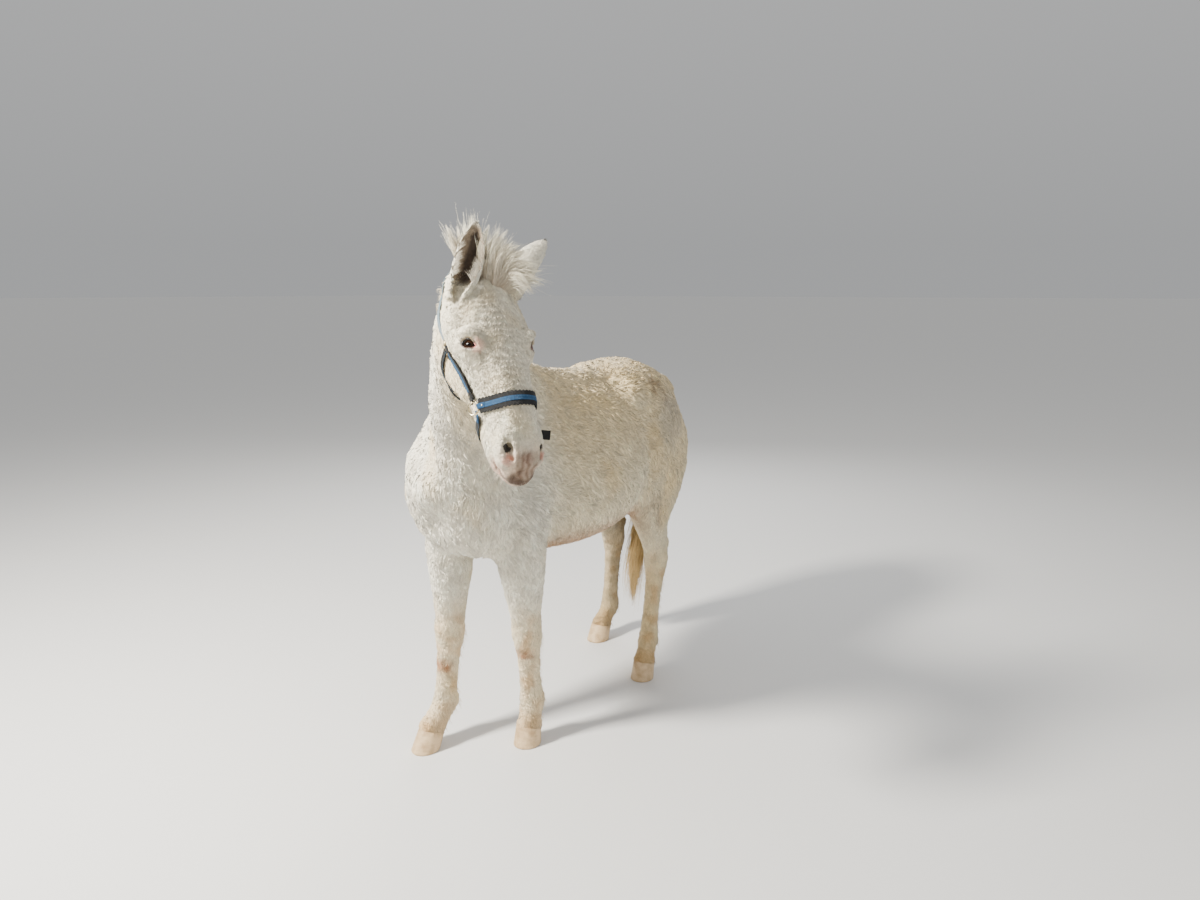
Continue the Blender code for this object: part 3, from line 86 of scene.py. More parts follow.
def at(forward, left, up):
    """A place by its forward, left and up distances, in the row frame."""
    return np.array([left - CENTRE_LEFT, CENTRE_FORWARD - forward, up], float)


def towards(forward, left, up):
    """A direction by its forward, left and up shares, in the row frame."""
    direction = np.array([left, -forward, up], float)
    return direction / np.linalg.norm(direction)


# The way to the mule's left, and the way up its slightly leaning limbs
LEFT = towards(0, 1, 0)
RISE = towards(0.3, 0, 1)
SIDES = (("left", 1), ("right", -1))


def head_axes():
    """Along the face, out of the face, and to the head's left."""
    ahead = np.array([math.cos(HEAD_YAW), math.sin(HEAD_YAW), 0.0])
    left = np.array([-math.sin(HEAD_YAW), math.cos(HEAD_YAW), 0.0])
    up = np.array([0.0, 0.0, 1.0])
    along = math.sin(HEAD_PITCH) * ahead - math.cos(HEAD_PITCH) * up
    out = math.cos(HEAD_PITCH) * ahead + math.sin(HEAD_PITCH) * up

    def rolled(v):
        """Turned about the head's level forward axis."""
        c, s = math.cos(HEAD_ROLL), math.sin(HEAD_ROLL)
        return v * c + np.cross(ahead, v) * s + ahead * (ahead @ v) * (1 - c)

    return [towards(*rolled(v)) for v in (along, out, left)]


ALONG, OUT, ASIDE = head_axes()


def on_head(along, out, aside):
    """A place on the head: down the face from the poll, out of the face, to its left."""
    step = along * ALONG + out * OUT + aside * ASIDE
    return at(*POLL) + HEAD_SCALE * step


def smooth_union(a, b, blend):
    """The lesser of two distances, rounded where they are alike."""
    nearness = np.maximum(blend - np.abs(a - b), 0.0) / blend
    return np.minimum(a, b) - nearness * nearness * blend / 4


def smooth_cut(a, b, blend):
    """The first shape without the second, its edge rounded."""
    return -smooth_union(-a, b, blend)


def through(rows, steps):
    """Rows of numbers made denser along a smooth curve through them."""
    rows = np.array(rows, float)
    if len(rows) < 3 or steps < 2:
        return rows
    padded = np.vstack([2 * rows[0] - rows[1], rows, 2 * rows[-1] - rows[-2]])
    dense = []
    for before, a, b, after in zip(padded, padded[1:], padded[2:], padded[3:]):
        for t in np.arange(steps) / steps:
            dense.append(
                a + 0.5 * t * (b - before) + t * t * (before - 2.5 * a + 2 * b - 0.5 * after)
                + t**3 * (1.5 * (a - b) + 0.5 * (after - before))
            )
    return np.array(dense + [rows[-1]])


def runs_of(points):
    """How far each place lies along its path."""
    return np.concatenate([[0], np.cumsum(np.linalg.norm(np.diff(points, axis=0), axis=1))])


def spaced(rows, runs, even):
    """Rows of numbers at other distances along their path."""
    return np.stack([np.interp(even, runs, rows[:, i]) for i in range(rows.shape[1])], axis=1)


class Stretch:
    """A part of an elliptical tube, between the planes of two stations.

    A station is a centre and its half width, half depth and egg: above the
    centre the tube is narrower by that share, and below it wider.  Neighbours
    share the plane between them, so that a chain has no ridge where they meet.
    """

    def __init__(self, start, end, planes, sides, rises, ends):
        self.start = start[:3]
        self.step = end[:3] - start[:3]
        self.planes, self.ends = planes, ends
        self.side, self.side_turn = sides[0], sides[1] - sides[0]
        self.rise, self.rise_turn = rises[0], rises[1] - rises[0]
        self.axis = self.step / np.linalg.norm(self.step)
        self.sizes, self.growth = start[3:], end[3:] - start[3:]
        margin = max(start[3:5].max(), end[3:5].max()) * 1.25 + REACH
        self.low = np.minimum(start[:3], end[:3]) - margin
        self.high = np.maximum(start[:3], end[:3]) + margin

    def distance(self, x, y, z):
        """How far places lie outside the tube, less than 0 inside it."""

        def along(v):
            return x * v[0] + y * v[1] + z * v[2]

        x, y, z = (v - c for v, c in zip((x, y, z), self.start))
        first = along(self.planes[0])
        second = self.step @ self.planes[1] - along(self.planes[1])
        raw = first / np.maximum(first + second, 1e-4)
        t = np.clip(raw, 0.0, 1.0)
        x, y, z = (v - t * s for v, s in zip((x, y, z), self.step))
        width, depth, egg = (s + t * g for s, g in zip(self.sizes, self.growth))
        u = along(self.side) + t * along(self.side_turn)
        v = along(self.rise) + t * along(self.rise_turn)
        w = np.where(raw == t, 0.0, along(self.axis))
        width = width * (1 - egg * np.clip(v / depth, -1, 1))
        end = np.minimum(width, depth)
        u, v, w = u / width, v / depth, w / end
        size = np.sqrt(u * u + v * v + w * w) + 1e-6
        slope = np.sqrt((u / width) ** 2 + (v / depth) ** 2 + (w / end) ** 2) + 1e-6
        first, last = self.ends
        outside = ((raw < 0) & (not first)) | ((raw > 1) & (not last))
        return np.where(outside, FAR, size * (size - 1) / slope)


def unit(vectors):
    return vectors / np.linalg.norm(vectors, axis=-1, keepdims=True)


class Limb:
    """A chain of stretches that blends with what is there, or is cut out of it."""

    def __init__(self, rows, blend, side=LEFT, rise=RISE, steps=3, cut=False):
        rows = through(rows, steps)
        steps = unit(np.diff(rows[:, :3], axis=0))
        planes = unit(np.vstack([steps[:1], steps[1:] + steps[:-1], steps[-1:]]))
        share = np.linspace(0, 1, len(rows))[:, None]
        side = np.broadcast_to(side, (2, 3))
        sides = side[0] * (1 - share) + side[1] * share
        sides = unit(sides - np.sum(sides * planes, axis=1, keepdims=True) * planes)
        rises = np.cross(planes, sides)
        rises *= 1 if np.sum(rises @ rise) > 0 else -1
        last = len(rows) - 2
        self.stretches = [
            Stretch(*rows[i:i + 2], planes[i:i + 2], sides[i:i + 2], rises[i:i + 2], (i == 0, i == last))
            for i in range(last + 1)
        ]
        self.blend, self.cut = blend, cut
        self.low = np.min([s.low for s in self.stretches], axis=0)
        self.high = np.max([s.high for s in self.stretches], axis=0)

    def joined(self, before, distance):
        join = smooth_cut if self.cut else smooth_union
        return join(before, distance, self.blend)


def station(place, half_width, half_depth, egg=0.0):
    return [*place, half_width, half_depth, egg]


def window(axes, low, high):
    """The part of a grid that lies between two corners."""
    return tuple(slice(*np.searchsorted(axis, (a, b))) for axis, a, b in zip(axes, low, high))


def grid_values(limbs, axes):
    """The field at every crossing of the three axes."""
    field = np.full([len(a) for a in axes], FAR, np.float32)
    for limb in limbs:
        whole = window(axes, limb.low, limb.high)
        if any(s.start >= s.stop for s in whole):
            continue
        near = [axis[s] for axis, s in zip(axes, whole)]
        band = np.full([len(a) for a in near], FAR, np.float32)
        for stretch in limb.stretches:
            part = window(near, stretch.low, stretch.high)
            x, y, z = np.ix_(*(a[s] for a, s in zip(near, part)))
            band[part] = np.minimum(band[part], stretch.distance(x, y, z))
        field[whole] = limb.joined(field[whole], band)
    return field


def values(limbs, points):
    """The field at loose points."""
    field = np.full(len(points), FAR)
    for limb in limbs:
        near = np.all((points > limb.low) & (points < limb.high), axis=1)
        if not near.any():
            continue
        close = points[near]
        band = np.full(len(close), FAR)
        for stretch in limb.stretches:
            here = np.all((close > stretch.low) & (close < stretch.high), axis=1)
            if here.any():
                band[here] = np.minimum(band[here], stretch.distance(*close[here].T))
        field[near] = limb.joined(field[near], band)
    return field


def slopes(limbs, points, step=0.0008):
    """The field's outward direction and steepness at loose points."""
    rises = [values(limbs, points + way) - values(limbs, points - way) for way in step * np.eye(3)]
    slope = np.stack(rises, axis=1) / (2 * step)
    steepness = np.linalg.norm(slope, axis=1, keepdims=True) + 1e-6
    return slope / steepness, steepness[:, 0]


def settle(limbs, points, height=0.0, rounds=4, pulled=True):
    """Points moved along the slope to that height over the surface, or only out to it."""
    points = np.array(points, float)
    for _ in range(rounds):
        normal, steepness = slopes(limbs, points)
        step = (values(limbs, points) - height) / np.maximum(steepness, 0.3)
        if not pulled:
            step = np.minimum(step, 0)
        points -= np.clip(step, -LONGEST_STEP, LONGEST_STEP)[:, None] * normal
    return points


# The trunk: forward, top, bottom, half width, egg
TRUNK = [
    (0.625, 1.04, 0.9, 0.08, 0.0), (0.56, 1.16, 0.8, 0.145, 0.1), (0.44, 1.28, 0.722, 0.182, 0.22),
    (0.28, 1.335, 0.672, 0.216, 0.28), (0.1, 1.3, 0.648, 0.258, 0.22), (-0.06, 1.28, 0.638, 0.278, 0.16),
    (-0.2, 1.285, 0.66, 0.268, 0.12), (-0.33, 1.3, 0.725, 0.235, 0.08), (-0.46, 1.3, 0.83, 0.2, 0.05),
    (-0.58, 1.27, 0.92, 0.165, 0.05), (-0.64, 1.205, 1.0, 0.088, 0.0),
]


def trunk():
    """The barrel, with the ridge of the withers and back, and the middle of the breast."""
    barrel = [
        station(at(f, 0, (top + low) / 2), width, (top - low) / 2, egg)
        for f, top, low, width, egg in TRUNK
    ]
    ridge_line = [
        (0.47, 1.29, 0.04, 0.05), (0.34, WITHERS_UP - 0.045, 0.042, 0.05),
        (0.22, WITHERS_UP - 0.06, 0.044, 0.05), (0.05, 1.258, 0.06, 0.05), (-0.2, 1.25, 0.08, 0.05),
        (-0.42, 1.272, 0.075, 0.055), (-0.6, 1.215, 0.05, 0.06),
    ]
    ridge = [station(at(f, 0, up), w, d) for f, up, w, d in ridge_line]
    breast = [station(at(0.550, 0, 1.000), 0.080, 0.085), station(at(0.535, 0, 0.830), 0.085, 0.085)]
    return [Limb(barrel, 0.02, steps=4), Limb(ridge, 0.06), Limb(breast, 0.06)]


def muscle(start, end, width, depth, blend, swell):
    """A spindle between two places, thickest midway; its ends keep the share swell."""
    start, end = np.array(start), np.array(end)
    rows = [
        station(start + share * (end - start), width * size, depth * size)
        for share, size in ((0, swell), (0.5, 1.0), (1, swell))
    ]
    return Limb(rows, blend)


def muscles(table, side):
    """The muscles of one side, from a table of the left side's."""
    flip = np.array([1, side, 1])
    return [muscle(at(*(flip * start)), at(*(flip * end)), *sizes) for start, end, *sizes in table]


# Muscles of shoulder, upper arm and breast: start, end, half width, half depth, blend, swell
FOREHAND = [
    ((0.27, 0.07, 1.275), (0.55, 0.116, 1.02), 0.066, 0.115, 0.07, 0.6),
    ((0.545, 0.088, 1.03), (0.535, 0.11, 0.9), 0.066, 0.08, 0.08, 0.85),
    ((0.53, 0.134, 0.94), (0.39, 0.146, 0.81), 0.068, 0.1, 0.07, 0.6),
    ((0.33, 0.135, 1.05), (0.37, 0.15, 0.82), 0.064, 0.1, 0.05, 0.6),
    ((0.575, 0.07, 0.99), (0.55, 0.085, 0.84), 0.075, 0.075, 0.08, 0.8),
    ((0.51, 0.055, 0.775), (0.38, 0.085, 0.745), 0.074, 0.062, 0.06, 0.9),
]
# Muscles of hip, croup and flank, in the same way
HINDQUARTER = [
    ((-0.3, 0.16, 1.195), (-0.38, 0.165, 1.175), 0.056, 0.06, 0.09, 0.9),
    ((-0.3, 0.085, 1.215), (-0.57, 0.1, 1.175), 0.092, 0.105, 0.07, 0.75),
    ((-0.45, 0.15, 1.14), (-0.6, 0.14, 0.96), 0.085, 0.115, 0.06, 0.8),
    ((-0.34, 0.155, 1.08), (-0.38, 0.165, 0.88), 0.08, 0.1, 0.06, 0.75),
]
# The back of the thigh: forward, left, up, half width, half depth, and how far it follows the leg
BUTTOCK = [
    (-0.6, 0.085, 1.16, 0.065, 0.07, 0.0), (-0.64, 0.1, 1.06, 0.078, 0.08, 0.0),
    (-0.63, 0.132, 0.93, 0.084, 0.096, 0.1), (-0.56, 0.158, 0.8, 0.07, 0.092, 0.5),
    (-0.48, 0.17, 0.66, 0.052, 0.06, 1.0), (-0.492, 0.171, 0.58, 0.034, 0.04, 1.0),
]
# The thigh's middle: forward, left, up, and how far it follows the leg
THIGH = [(-0.470, 0.160, 0.950, 0.4), (-0.470, 0.166, 0.820, 0.7)]


def thigh(name):
    """The muscles of one hind leg that follow its stifle forward or back."""
    side = 1 if name == "left" else -1
    stride = HIND_JOINTS[name][1][0] - HIND_JOINTS["left"][1][0]
    back = [
        station(at(f + follow * stride, side * l, u), width, depth)
        for f, l, u, width, depth, follow in BUTTOCK
    ]
    start, end = (at(f + follow * stride, side * l, u) for f, l, u, follow in THIGH)
    return [Limb(back, 0.05, rise=towards(1, 0, 0.3)), muscle(start, end, 0.064, 0.085, 0.06, 0.90)]


# A leg's girths: bone, share of its length, half width, half depth
FORE_GIRTHS = [
    (0, -0.2, 0.084, 0.112), (0, 0.0, 0.086, 0.105), (0, 0.25, 0.083, 0.092), (0, 0.5, 0.071, 0.076),
    (0, 0.8, 0.053, 0.058), (0, 1.0, 0.051, 0.053), (1, 0.22, 0.042, 0.047), (1, 0.55, 0.036, 0.042),
    (1, 0.82, 0.036, 0.044), (1, 1.0, 0.042, 0.048), (2, 0.5, 0.039, 0.043), (2, 1.0, 0.045, 0.05),
]
HIND_GIRTHS = [
    (0, 0.0, 0.085, 0.15), (0, 0.6, 0.08, 0.135), (1, 0.0, 0.072, 0.118), (1, 0.3, 0.059, 0.086),
    (1, 0.6, 0.047, 0.062), (1, 0.84, 0.04, 0.052), (1, 1.0, 0.045, 0.058), (2, 0.2, 0.037, 0.048),
    (2, 0.5, 0.032, 0.039), (2, 0.8, 0.033, 0.041), (2, 1.0, 0.04, 0.046), (3, 0.5, 0.036, 0.04),
    (3, 1.0, 0.044, 0.049),
]
# The joints of each leg from the top down to the coronet
FORE_JOINTS = {
    "left": [
        (0.395, 0.147, 0.790), (0.345, 0.134, 0.408), (0.333, 0.140, 0.150), (0.352, 0.143, 0.070)
    ],
    "right": [
        (0.432, -0.136, 0.790), (0.472, -0.117, 0.400), (0.510, -0.115, 0.148), (0.572, -0.121, 0.070)
    ],
}
HIND_JOINTS = {
    "left": [
        (-0.400, 0.140, 1.000), (-0.345, 0.168, 0.820), (-0.478, 0.172, 0.478), (-0.385, 0.190, 0.145),
        (-0.352, 0.194, 0.070),
    ],
    "right": [
        (-0.440, -0.140, 1.000), (-0.430, -0.168, 0.815), (-0.665, -0.168, 0.478), (-0.655, -0.186, 0.138),
        (-0.592, -0.188, 0.068),
    ],
}


def leg(joints, girths, blend):
    """The flesh of one leg, girth by girth down its bones."""
    joints = [at(*j) for j in joints]
    rows = [
        station(joints[bone] + share * (joints[bone + 1] - joints[bone]), width, depth)
        for bone, share, width, depth in girths
    ]
    return Limb(rows, blend, rise=towards(1, 0, 0.2))


# Small swellings by a joint: how far behind it and how far up they start and end, then their sizes
FETLOCK_TUFT = (0.030, 0.020, 0.034, -0.013, 0.024, 0.020, 0.02, 0.90)
KNEE_FRONT = (-0.012, 0.020, -0.010, -0.030, 0.044, 0.040, 0.02, 0.90)
KNEE_BACK = (0.038, 0.022, 0.036, -0.012, 0.022, 0.020, 0.02, 0.90)
ELBOW_POINT = (0.075, 0.030, 0.050, -0.050, 0.034, 0.036, 0.03, 0.80)
STIFLE_FRONT = (-0.055, 0.040, -0.052, -0.030, 0.060, 0.058, 0.05, 0.85)
HOCK_FRONT = (-0.022, 0.020, -0.026, -0.030, 0.038, 0.036, 0.02, 0.90)
# The point of the hock, behind and above its joint, and where its tendon ends on the shin
HEEL = (0.050, 0.062)
TENDON = (0.45, 0.050)
BEHIND = towards(-1, 0, 0)


def swelling(joint, sizes):
    """A small muscle placed from a joint."""
    start_back, start_up, end_back, end_up, *rest = sizes
    start = joint + start_back * BEHIND + start_up * RISE
    return muscle(start, joint + end_back * BEHIND + end_up * RISE, *rest)


def fore_details(joints):
    """The knee's flat front, the bone behind it, the fetlock's tuft and the elbow."""
    elbow, knee, fetlock, _ = (at(*j) for j in joints)
    places = (knee, KNEE_FRONT), (knee, KNEE_BACK), (fetlock, FETLOCK_TUFT), (elbow, ELBOW_POINT)
    return [swelling(joint, sizes) for joint, sizes in places]


def hind_details(joints):
    """The stifle, the point of the hock with its tendon, and the fetlock's tuft."""
    _, stifle, hock, fetlock, _ = (at(*j) for j in joints)
    heel = hock + HEEL[0] * BEHIND + towards(0, 0, 1) * HEEL[1]
    tendon = stifle + TENDON[0] * (hock - stifle) + TENDON[1] * BEHIND
    return [
        swelling(stifle, STIFLE_FRONT), muscle(heel, hock + 0.040 * BEHIND, 0.024, 0.026, 0.02, 0.90),
        muscle(heel, tendon, 0.017, 0.019, 0.03, 1.00), swelling(hock, HOCK_FRONT),
        swelling(fetlock, FETLOCK_TUFT),
    ]


# The neck: forward, left, up, half width, half depth, egg
NECK = [
    (0.33, 0.0, 1.05, 0.128, 0.275, 0.2), (0.45, 0.035, 1.155, 0.111, 0.232, 0.26),
    (0.56, 0.092, 1.27, 0.109, 0.188, 0.28), (0.637, 0.163, 1.38, 0.111, 0.152, 0.24),
    (0.693, 0.225, 1.474, 0.111, 0.124, 0.18), (0.716, 0.258, 1.526, 0.103, 0.108, 0.14),
    (0.732, 0.284, 1.566, 0.088, 0.09, 0.1),
]
NECK_YAW = math.radians(66.0)


def neck():
    """The neck, whose section turns with the head on its way up."""
    rows = [station(at(f, l, u), w, d, egg) for f, l, u, w, d, egg in NECK]
    turned = towards(-math.sin(NECK_YAW), math.cos(NECK_YAW), 0)
    sides = np.array([LEFT, turned])
    return [Limb(rows, 0.10, side=sides, rise=towards(-0.5, -0.3, 1), steps=4)]


def head_limb(rows, blend, cut=False):
    """A limb of the head; a row is along, out, aside, half width, half depth, egg."""
    stations = [
        station(on_head(*row[:3]), HEAD_SCALE * row[3], HEAD_SCALE * row[4], *row[5:])
        for row in rows
    ]
    return Limb(stations, blend, side=ASIDE, rise=OUT, cut=cut)


# The head's limbs: along, out, aside, half width, half depth, egg
FACE = [
    (0.005, -0.092, 0, 0.078, 0.07, 0.1), (0.06, -0.085, 0, 0.112, 0.08, 0.12),
    (0.13, -0.079, 0, 0.127, 0.082, 0.12), (0.2, -0.077, 0, 0.114, 0.082, 0.12),
    (0.27, -0.078, 0, 0.086, 0.08, 0.1), (0.35, -0.082, 0, 0.072, 0.076, 0.04),
    (0.43, -0.088, 0, 0.065, 0.07, 0.0), (0.485, -0.094, 0, 0.062, 0.066, 0.0),
    (0.518, -0.106, 0, 0.056, 0.058, 0.0), (0.536, -0.114, 0, 0.043, 0.045, 0.0),
]
JAW = [
    (0.085, -0.15, 0, 0.06, 0.072, 0.0), (0.14, -0.168, 0, 0.072, 0.088, 0.0),
    (0.205, -0.17, 0, 0.074, 0.088, 0.0), (0.275, -0.156, 0, 0.064, 0.068, 0.0),
    (0.35, -0.152, 0, 0.056, 0.056, 0.0), (0.42, -0.153, 0, 0.052, 0.052, 0.0),
    (0.47, -0.155, 0, 0.047, 0.044, 0.0), (0.496, -0.157, 0, 0.039, 0.035, 0.0),
]
# The eye's ball, which way it looks, and its opening between the lids: depth, half length, half height
EYE = (0.206, -0.0485, 0.0835)
EYE_RADIUS = 0.0225
EYE_FACING = (0.60, 0.80)
EYE_SLANT = (0.88, 0.48)
LIDS = (0.0215, 0.0205, 0.0122)
# The opening from its outer to its inner corner: share of half length, height, lift
LID_LINE = [(-1.0, 0.12, -0.1), (-0.55, 0.8, 0.1), (0.0, 1.0, 0.16), (0.5, 0.8, 0.06), (1.08, 0.14, -0.22)]
# The bony rim over the eye, by its angle from the inner corner: far, deep, size
RIM = [
    (195, 0.035, 0.0, 0.009), (150, 0.036, 0.009, 0.012), (105, 0.037, 0.023, 0.014),
    (60, 0.036, 0.018, 0.012), (25, 0.038, 0.002, 0.009),
]
LOWER_LID = [(215, 0.029, 0.002, 0.009), (270, 0.029, 0.002, 0.009), (325, 0.029, 0.002, 0.009)]


def eye_axes(side):
    """The way one eye looks, the way from its outer to its inner corner, and the way to its upper lid."""
    out, aside = EYE_FACING
    looks = unit(out * OUT + aside * side * ASIDE)
    level, down = EYE_SLANT
    inner = unit(level * (aside * OUT - out * side * ASIDE) + down * ALONG)
    inner = unit(inner - (inner @ looks) * looks)
    upper = np.cross(looks, inner)
    return looks, inner, upper if upper @ ALONG < 0 else -upper


def lid_opening(side):
    """The almond cut through the skin over one eye, rounder along its upper edge."""
    looks, inner, upper = eye_axes(side)
    reach, half_length, half_height = LIDS
    middle = on_head(*on_side(EYE, side)) + reach * looks
    rows = []
    for share, height, lift in LID_LINE:
        place = middle + share * half_length * inner + lift * half_height * upper
        rows.append(station(place, 0.012, height * half_height))
    return Limb(rows, 0.0018, side=looks, rise=upper, cut=True)


def orbit(side):
    """The bony rim over and in front of one eye, and the fuller lid below it."""
    looks, inner, upper = eye_axes(side)
    middle = on_head(*on_side(EYE, side))

    def arc(rows):
        """Stations round the eye."""
        for degrees, far, deep, size in rows:
            c, s = math.cos(math.radians(degrees)), math.sin(math.radians(degrees))
            yield station(middle + far * (c * inner) + far * (s * upper) + deep * looks, size, size)

    rows = (RIM, 0.030), (LOWER_LID, 0.024)
    return [Limb([*arc(row)], blend, side=looks, rise=upper) for row, blend in rows]


# Shapes of the left side of the head: along, out, aside, half width, half depth
CHEEK_BONE = [
    (0.115, -0.15, 0.044, 0.03, 0.07), (0.185, -0.162, 0.054, 0.033, 0.086),
    (0.262, -0.148, 0.048, 0.028, 0.062),
]
FACE_RIDGE = [
    (0.24, -0.09, 0.078, 0.012, 0.014), (0.3, -0.096, 0.071, 0.01, 0.012),
    (0.37, -0.098, 0.059, 0.008, 0.01),
]
NOSE_BRIDGE = [
    (0.225, -0.028, 0.018, 0.012, 0.01), (0.3, -0.018, 0.02, 0.018, 0.01),
    (0.38, -0.022, 0.018, 0.017, 0.01), (0.455, -0.034, 0.016, 0.014, 0.01),
]
NOSTRIL_WING = [
    (0.43, -0.072, 0.03, 0.015, 0.021), (0.462, -0.066, 0.039, 0.02, 0.026),
    (0.492, -0.068, 0.042, 0.022, 0.029), (0.518, -0.082, 0.04, 0.018, 0.025),
]
EAR_ROOT = [(-0.012, -0.078, 0.054, 0.026, 0.026), (0.020, -0.078, 0.058, 0.027, 0.027)]
# Hollows of the left side, in the same way
TEMPLE = [(0.105, -0.022, 0.106, 0.018, 0.014), (0.135, -0.022, 0.112, 0.016, 0.012)]
NOSTRIL = [
    (0.484, -0.041, 0.05, 0.0075, 0.0095), (0.498, -0.047, 0.053, 0.0115, 0.013),
    (0.512, -0.055, 0.047, 0.011, 0.013), (0.525, -0.066, 0.038, 0.0065, 0.0085),
]
PASSAGE = [(0.500, -0.054, 0.046, 0.0120, 0.0110), (0.478, -0.066, 0.030, 0.0090, 0.0090)]
MOUTH = [
    (0.44, -0.126, 0.055, 0.0034, 0.0024), (0.47, -0.133, 0.055, 0.0042, 0.0029),
    (0.498, -0.137, 0.05, 0.0046, 0.0032), (0.522, -0.137, 0.04, 0.0048, 0.0034),
    (0.542, -0.136, 0.022, 0.005, 0.0035), (0.548, -0.136, 0.0, 0.005, 0.0035),
]

# The shapes and hollows of one side, each with the width of its blend
SIDE_SHAPES = (
    (CHEEK_BONE, 0.03), (FACE_RIDGE, 0.03), (NOSE_BRIDGE, 0.03), (NOSTRIL_WING, 0.025), (EAR_ROOT, 0.03),
)
SIDE_HOLLOWS = ((TEMPLE, 0.03), (NOSTRIL, 0.006), (PASSAGE, 0.005), (MOUTH, 0.004))


def on_side(place, side):
    """A row of the left side, or its like on the right."""
    return (place[0], place[1], place[2] * side, *place[3:])


def side_limb(rows, side, blend, cut=False):
    return head_limb([on_side(row, side) for row in rows], blend, cut)


def nose_and_cheek(side):
    """Cheek, face ridge, nose, nostril wing, ear base and lids of one side."""
    radius = EYE_RADIUS + 0.0030
    ball_rows = [
        station(on_head(EYE[0] + step, EYE[1], EYE[2] * side), radius, radius)
        for step in (-0.002, 0.002)
    ]
    shapes = [side_limb(rows, side, blend) for rows, blend in SIDE_SHAPES]
    ball = Limb(ball_rows, 0.012, side=eye_axes(side)[0], rise=RISE)
    return [*shapes, *orbit(side), ball]


def head_hollows(side):
    """Temple, nostril, half of the mouth's line and the opening of the lids of one side."""
    return [side_limb(rows, side, blend, cut=True) for rows, blend in SIDE_HOLLOWS] + [lid_opening(side)]


def head():
    """Skull, cheeks, nose and lips, then the hollows of nostrils, mouth and eyes."""
    upper_lip = [(0.518, -0.106, 0, 0.049, 0.036), (0.538, -0.113, 0, 0.041, 0.028)]
    lower_lip = [(0.494, -0.152, 0, 0.041, 0.022), (0.514, -0.150, 0, 0.034, 0.017)]
    chin = [(0.462, -0.166, 0, 0.034, 0.027), (0.486, -0.168, 0, 0.032, 0.022)]
    shapes = [head_limb(FACE, 0.03), head_limb(JAW, 0.03)]
    shapes += [head_limb(upper_lip, 0.015), head_limb(lower_lip, 0.012), head_limb(chin, 0.02)]
    for side in (1, -1):
        shapes += nose_and_cheek(side)
    for side in (1, -1):
        shapes += head_hollows(side)
    return shapes


# The dock of the tail: forward, left, up, radius
DOCK = [
    (-0.63, 0.0, 1.195, 0.046), (-0.7, -0.002, 1.185, 0.042), (-0.755, -0.006, 1.12, 0.034),
    (-0.772, -0.012, 1.02, 0.028), (-0.768, -0.018, 0.92, 0.022),
]


def flesh():
    """Every limb of the body, in the order they blend; the hollows come last."""
    limbs = trunk()
    for name, side in SIDES:
        limbs += muscles(FOREHAND, side) + muscles(HINDQUARTER, side) + thigh(name)
    for name in ("left", "right"):
        limbs.append(leg(FORE_JOINTS[name], FORE_GIRTHS, 0.04))
        limbs += fore_details(FORE_JOINTS[name])
        limbs.append(leg(HIND_JOINTS[name], HIND_GIRTHS, 0.04))
        limbs += hind_details(HIND_JOINTS[name])
    limbs += neck()
    tail_head = [station(at(f, l, u), r, r) for f, l, u, r in DOCK[:2]]
    limbs.append(Limb(tail_head, 0.05, rise=towards(-1, 0, 0.2)))
    return limbs + head()


def grid_axes(limbs, close):
    """Grid lines over the whole body, finer where the close limbs are."""
    low = np.min([limb.low for limb in limbs], axis=0)
    high = np.max([limb.high for limb in limbs], axis=0)
    near = np.min([limb.low for limb in close], axis=0) + REACH / 2
    far = np.max([limb.high for limb in close], axis=0) - REACH / 2
    axes = []
    for a, b, c, d in zip(low, near, far, high):
        before = np.arange(b, a, -COARSE_CELL)[:0:-1]
        middle = np.arange(b, c, FINE_CELL)
        after = np.arange(middle[-1] + COARSE_CELL, d, COARSE_CELL)
        axes.append(np.concatenate([before, middle, after]))
    return axes


# Hooves: the middle of each sole, and how far each is turned out
HOOVES = {
    "front_left": (0.362, 0.144, math.radians(4)), "front_right": (0.6, -0.124, math.radians(-2)),
    "hind_left": (-0.333, 0.197, math.radians(12)), "hind_right": (-0.567, -0.188, math.radians(-8)),
}
SOLE = (0.0465, 0.0570)
CORONET = (0.0430, 0.0480)
CORONET_TILT = 0.30


def coronet(name):
    """The middle of a hoof's top, on the line of its leg."""
    joints = FORE_JOINTS if "front" in name else HIND_JOINTS
    forward, left, _ = joints[name.split("_")[1]][-1]
    return forward, left, 0.063


# Ears: base on the head, then the directions of the tip and of the cup's opening
EARS = {
    "left": ((0.012, -0.046, 0.092), (-0.62, 0.2, 0.8), (-0.8, -0.15, 0.1)),
    "right": ((0.036, -0.036, -0.079), (-0.14, 0.235, 0.965), (0.86, 0.52, 0.05)),
}
EAR_LENGTH = 0.184
# Share of length, half width, how far the cup wraps round, and how deep it is
EAR_LEVELS = [
    (-0.16, 0.029, 150, 1.0), (0.02, 0.035, 138, 0.96), (0.18, 0.0395, 120, 0.88), (0.38, 0.041, 106, 0.76),
    (0.58, 0.038, 99, 0.66), (0.76, 0.03, 95, 0.56), (0.9, 0.0185, 92, 0.5), (1.0, 0.0065, 90, 0.5),
]
# How far the ear's axis bows away from its opening, and how far its tip leans back
EAR_BOW = 0.018
EAR_LEAN = 0.010


def ear_frame(name):
    """The base of an ear, its axis, the way it opens and the way across it."""
    base, tip, opening = EARS[name]
    axis = towards(*tip)
    opening = towards(*opening)
    opening = unit(opening - (opening @ axis) * axis)
    return on_head(*base), axis, opening, np.cross(axis, opening)


# A lock's section, in shares of its half width and half thickness
LOCK_SECTION = ((-1.0, -0.7), (1.0, -0.7), (0.0, 1.3))
LOCK_SEGMENTS = 4


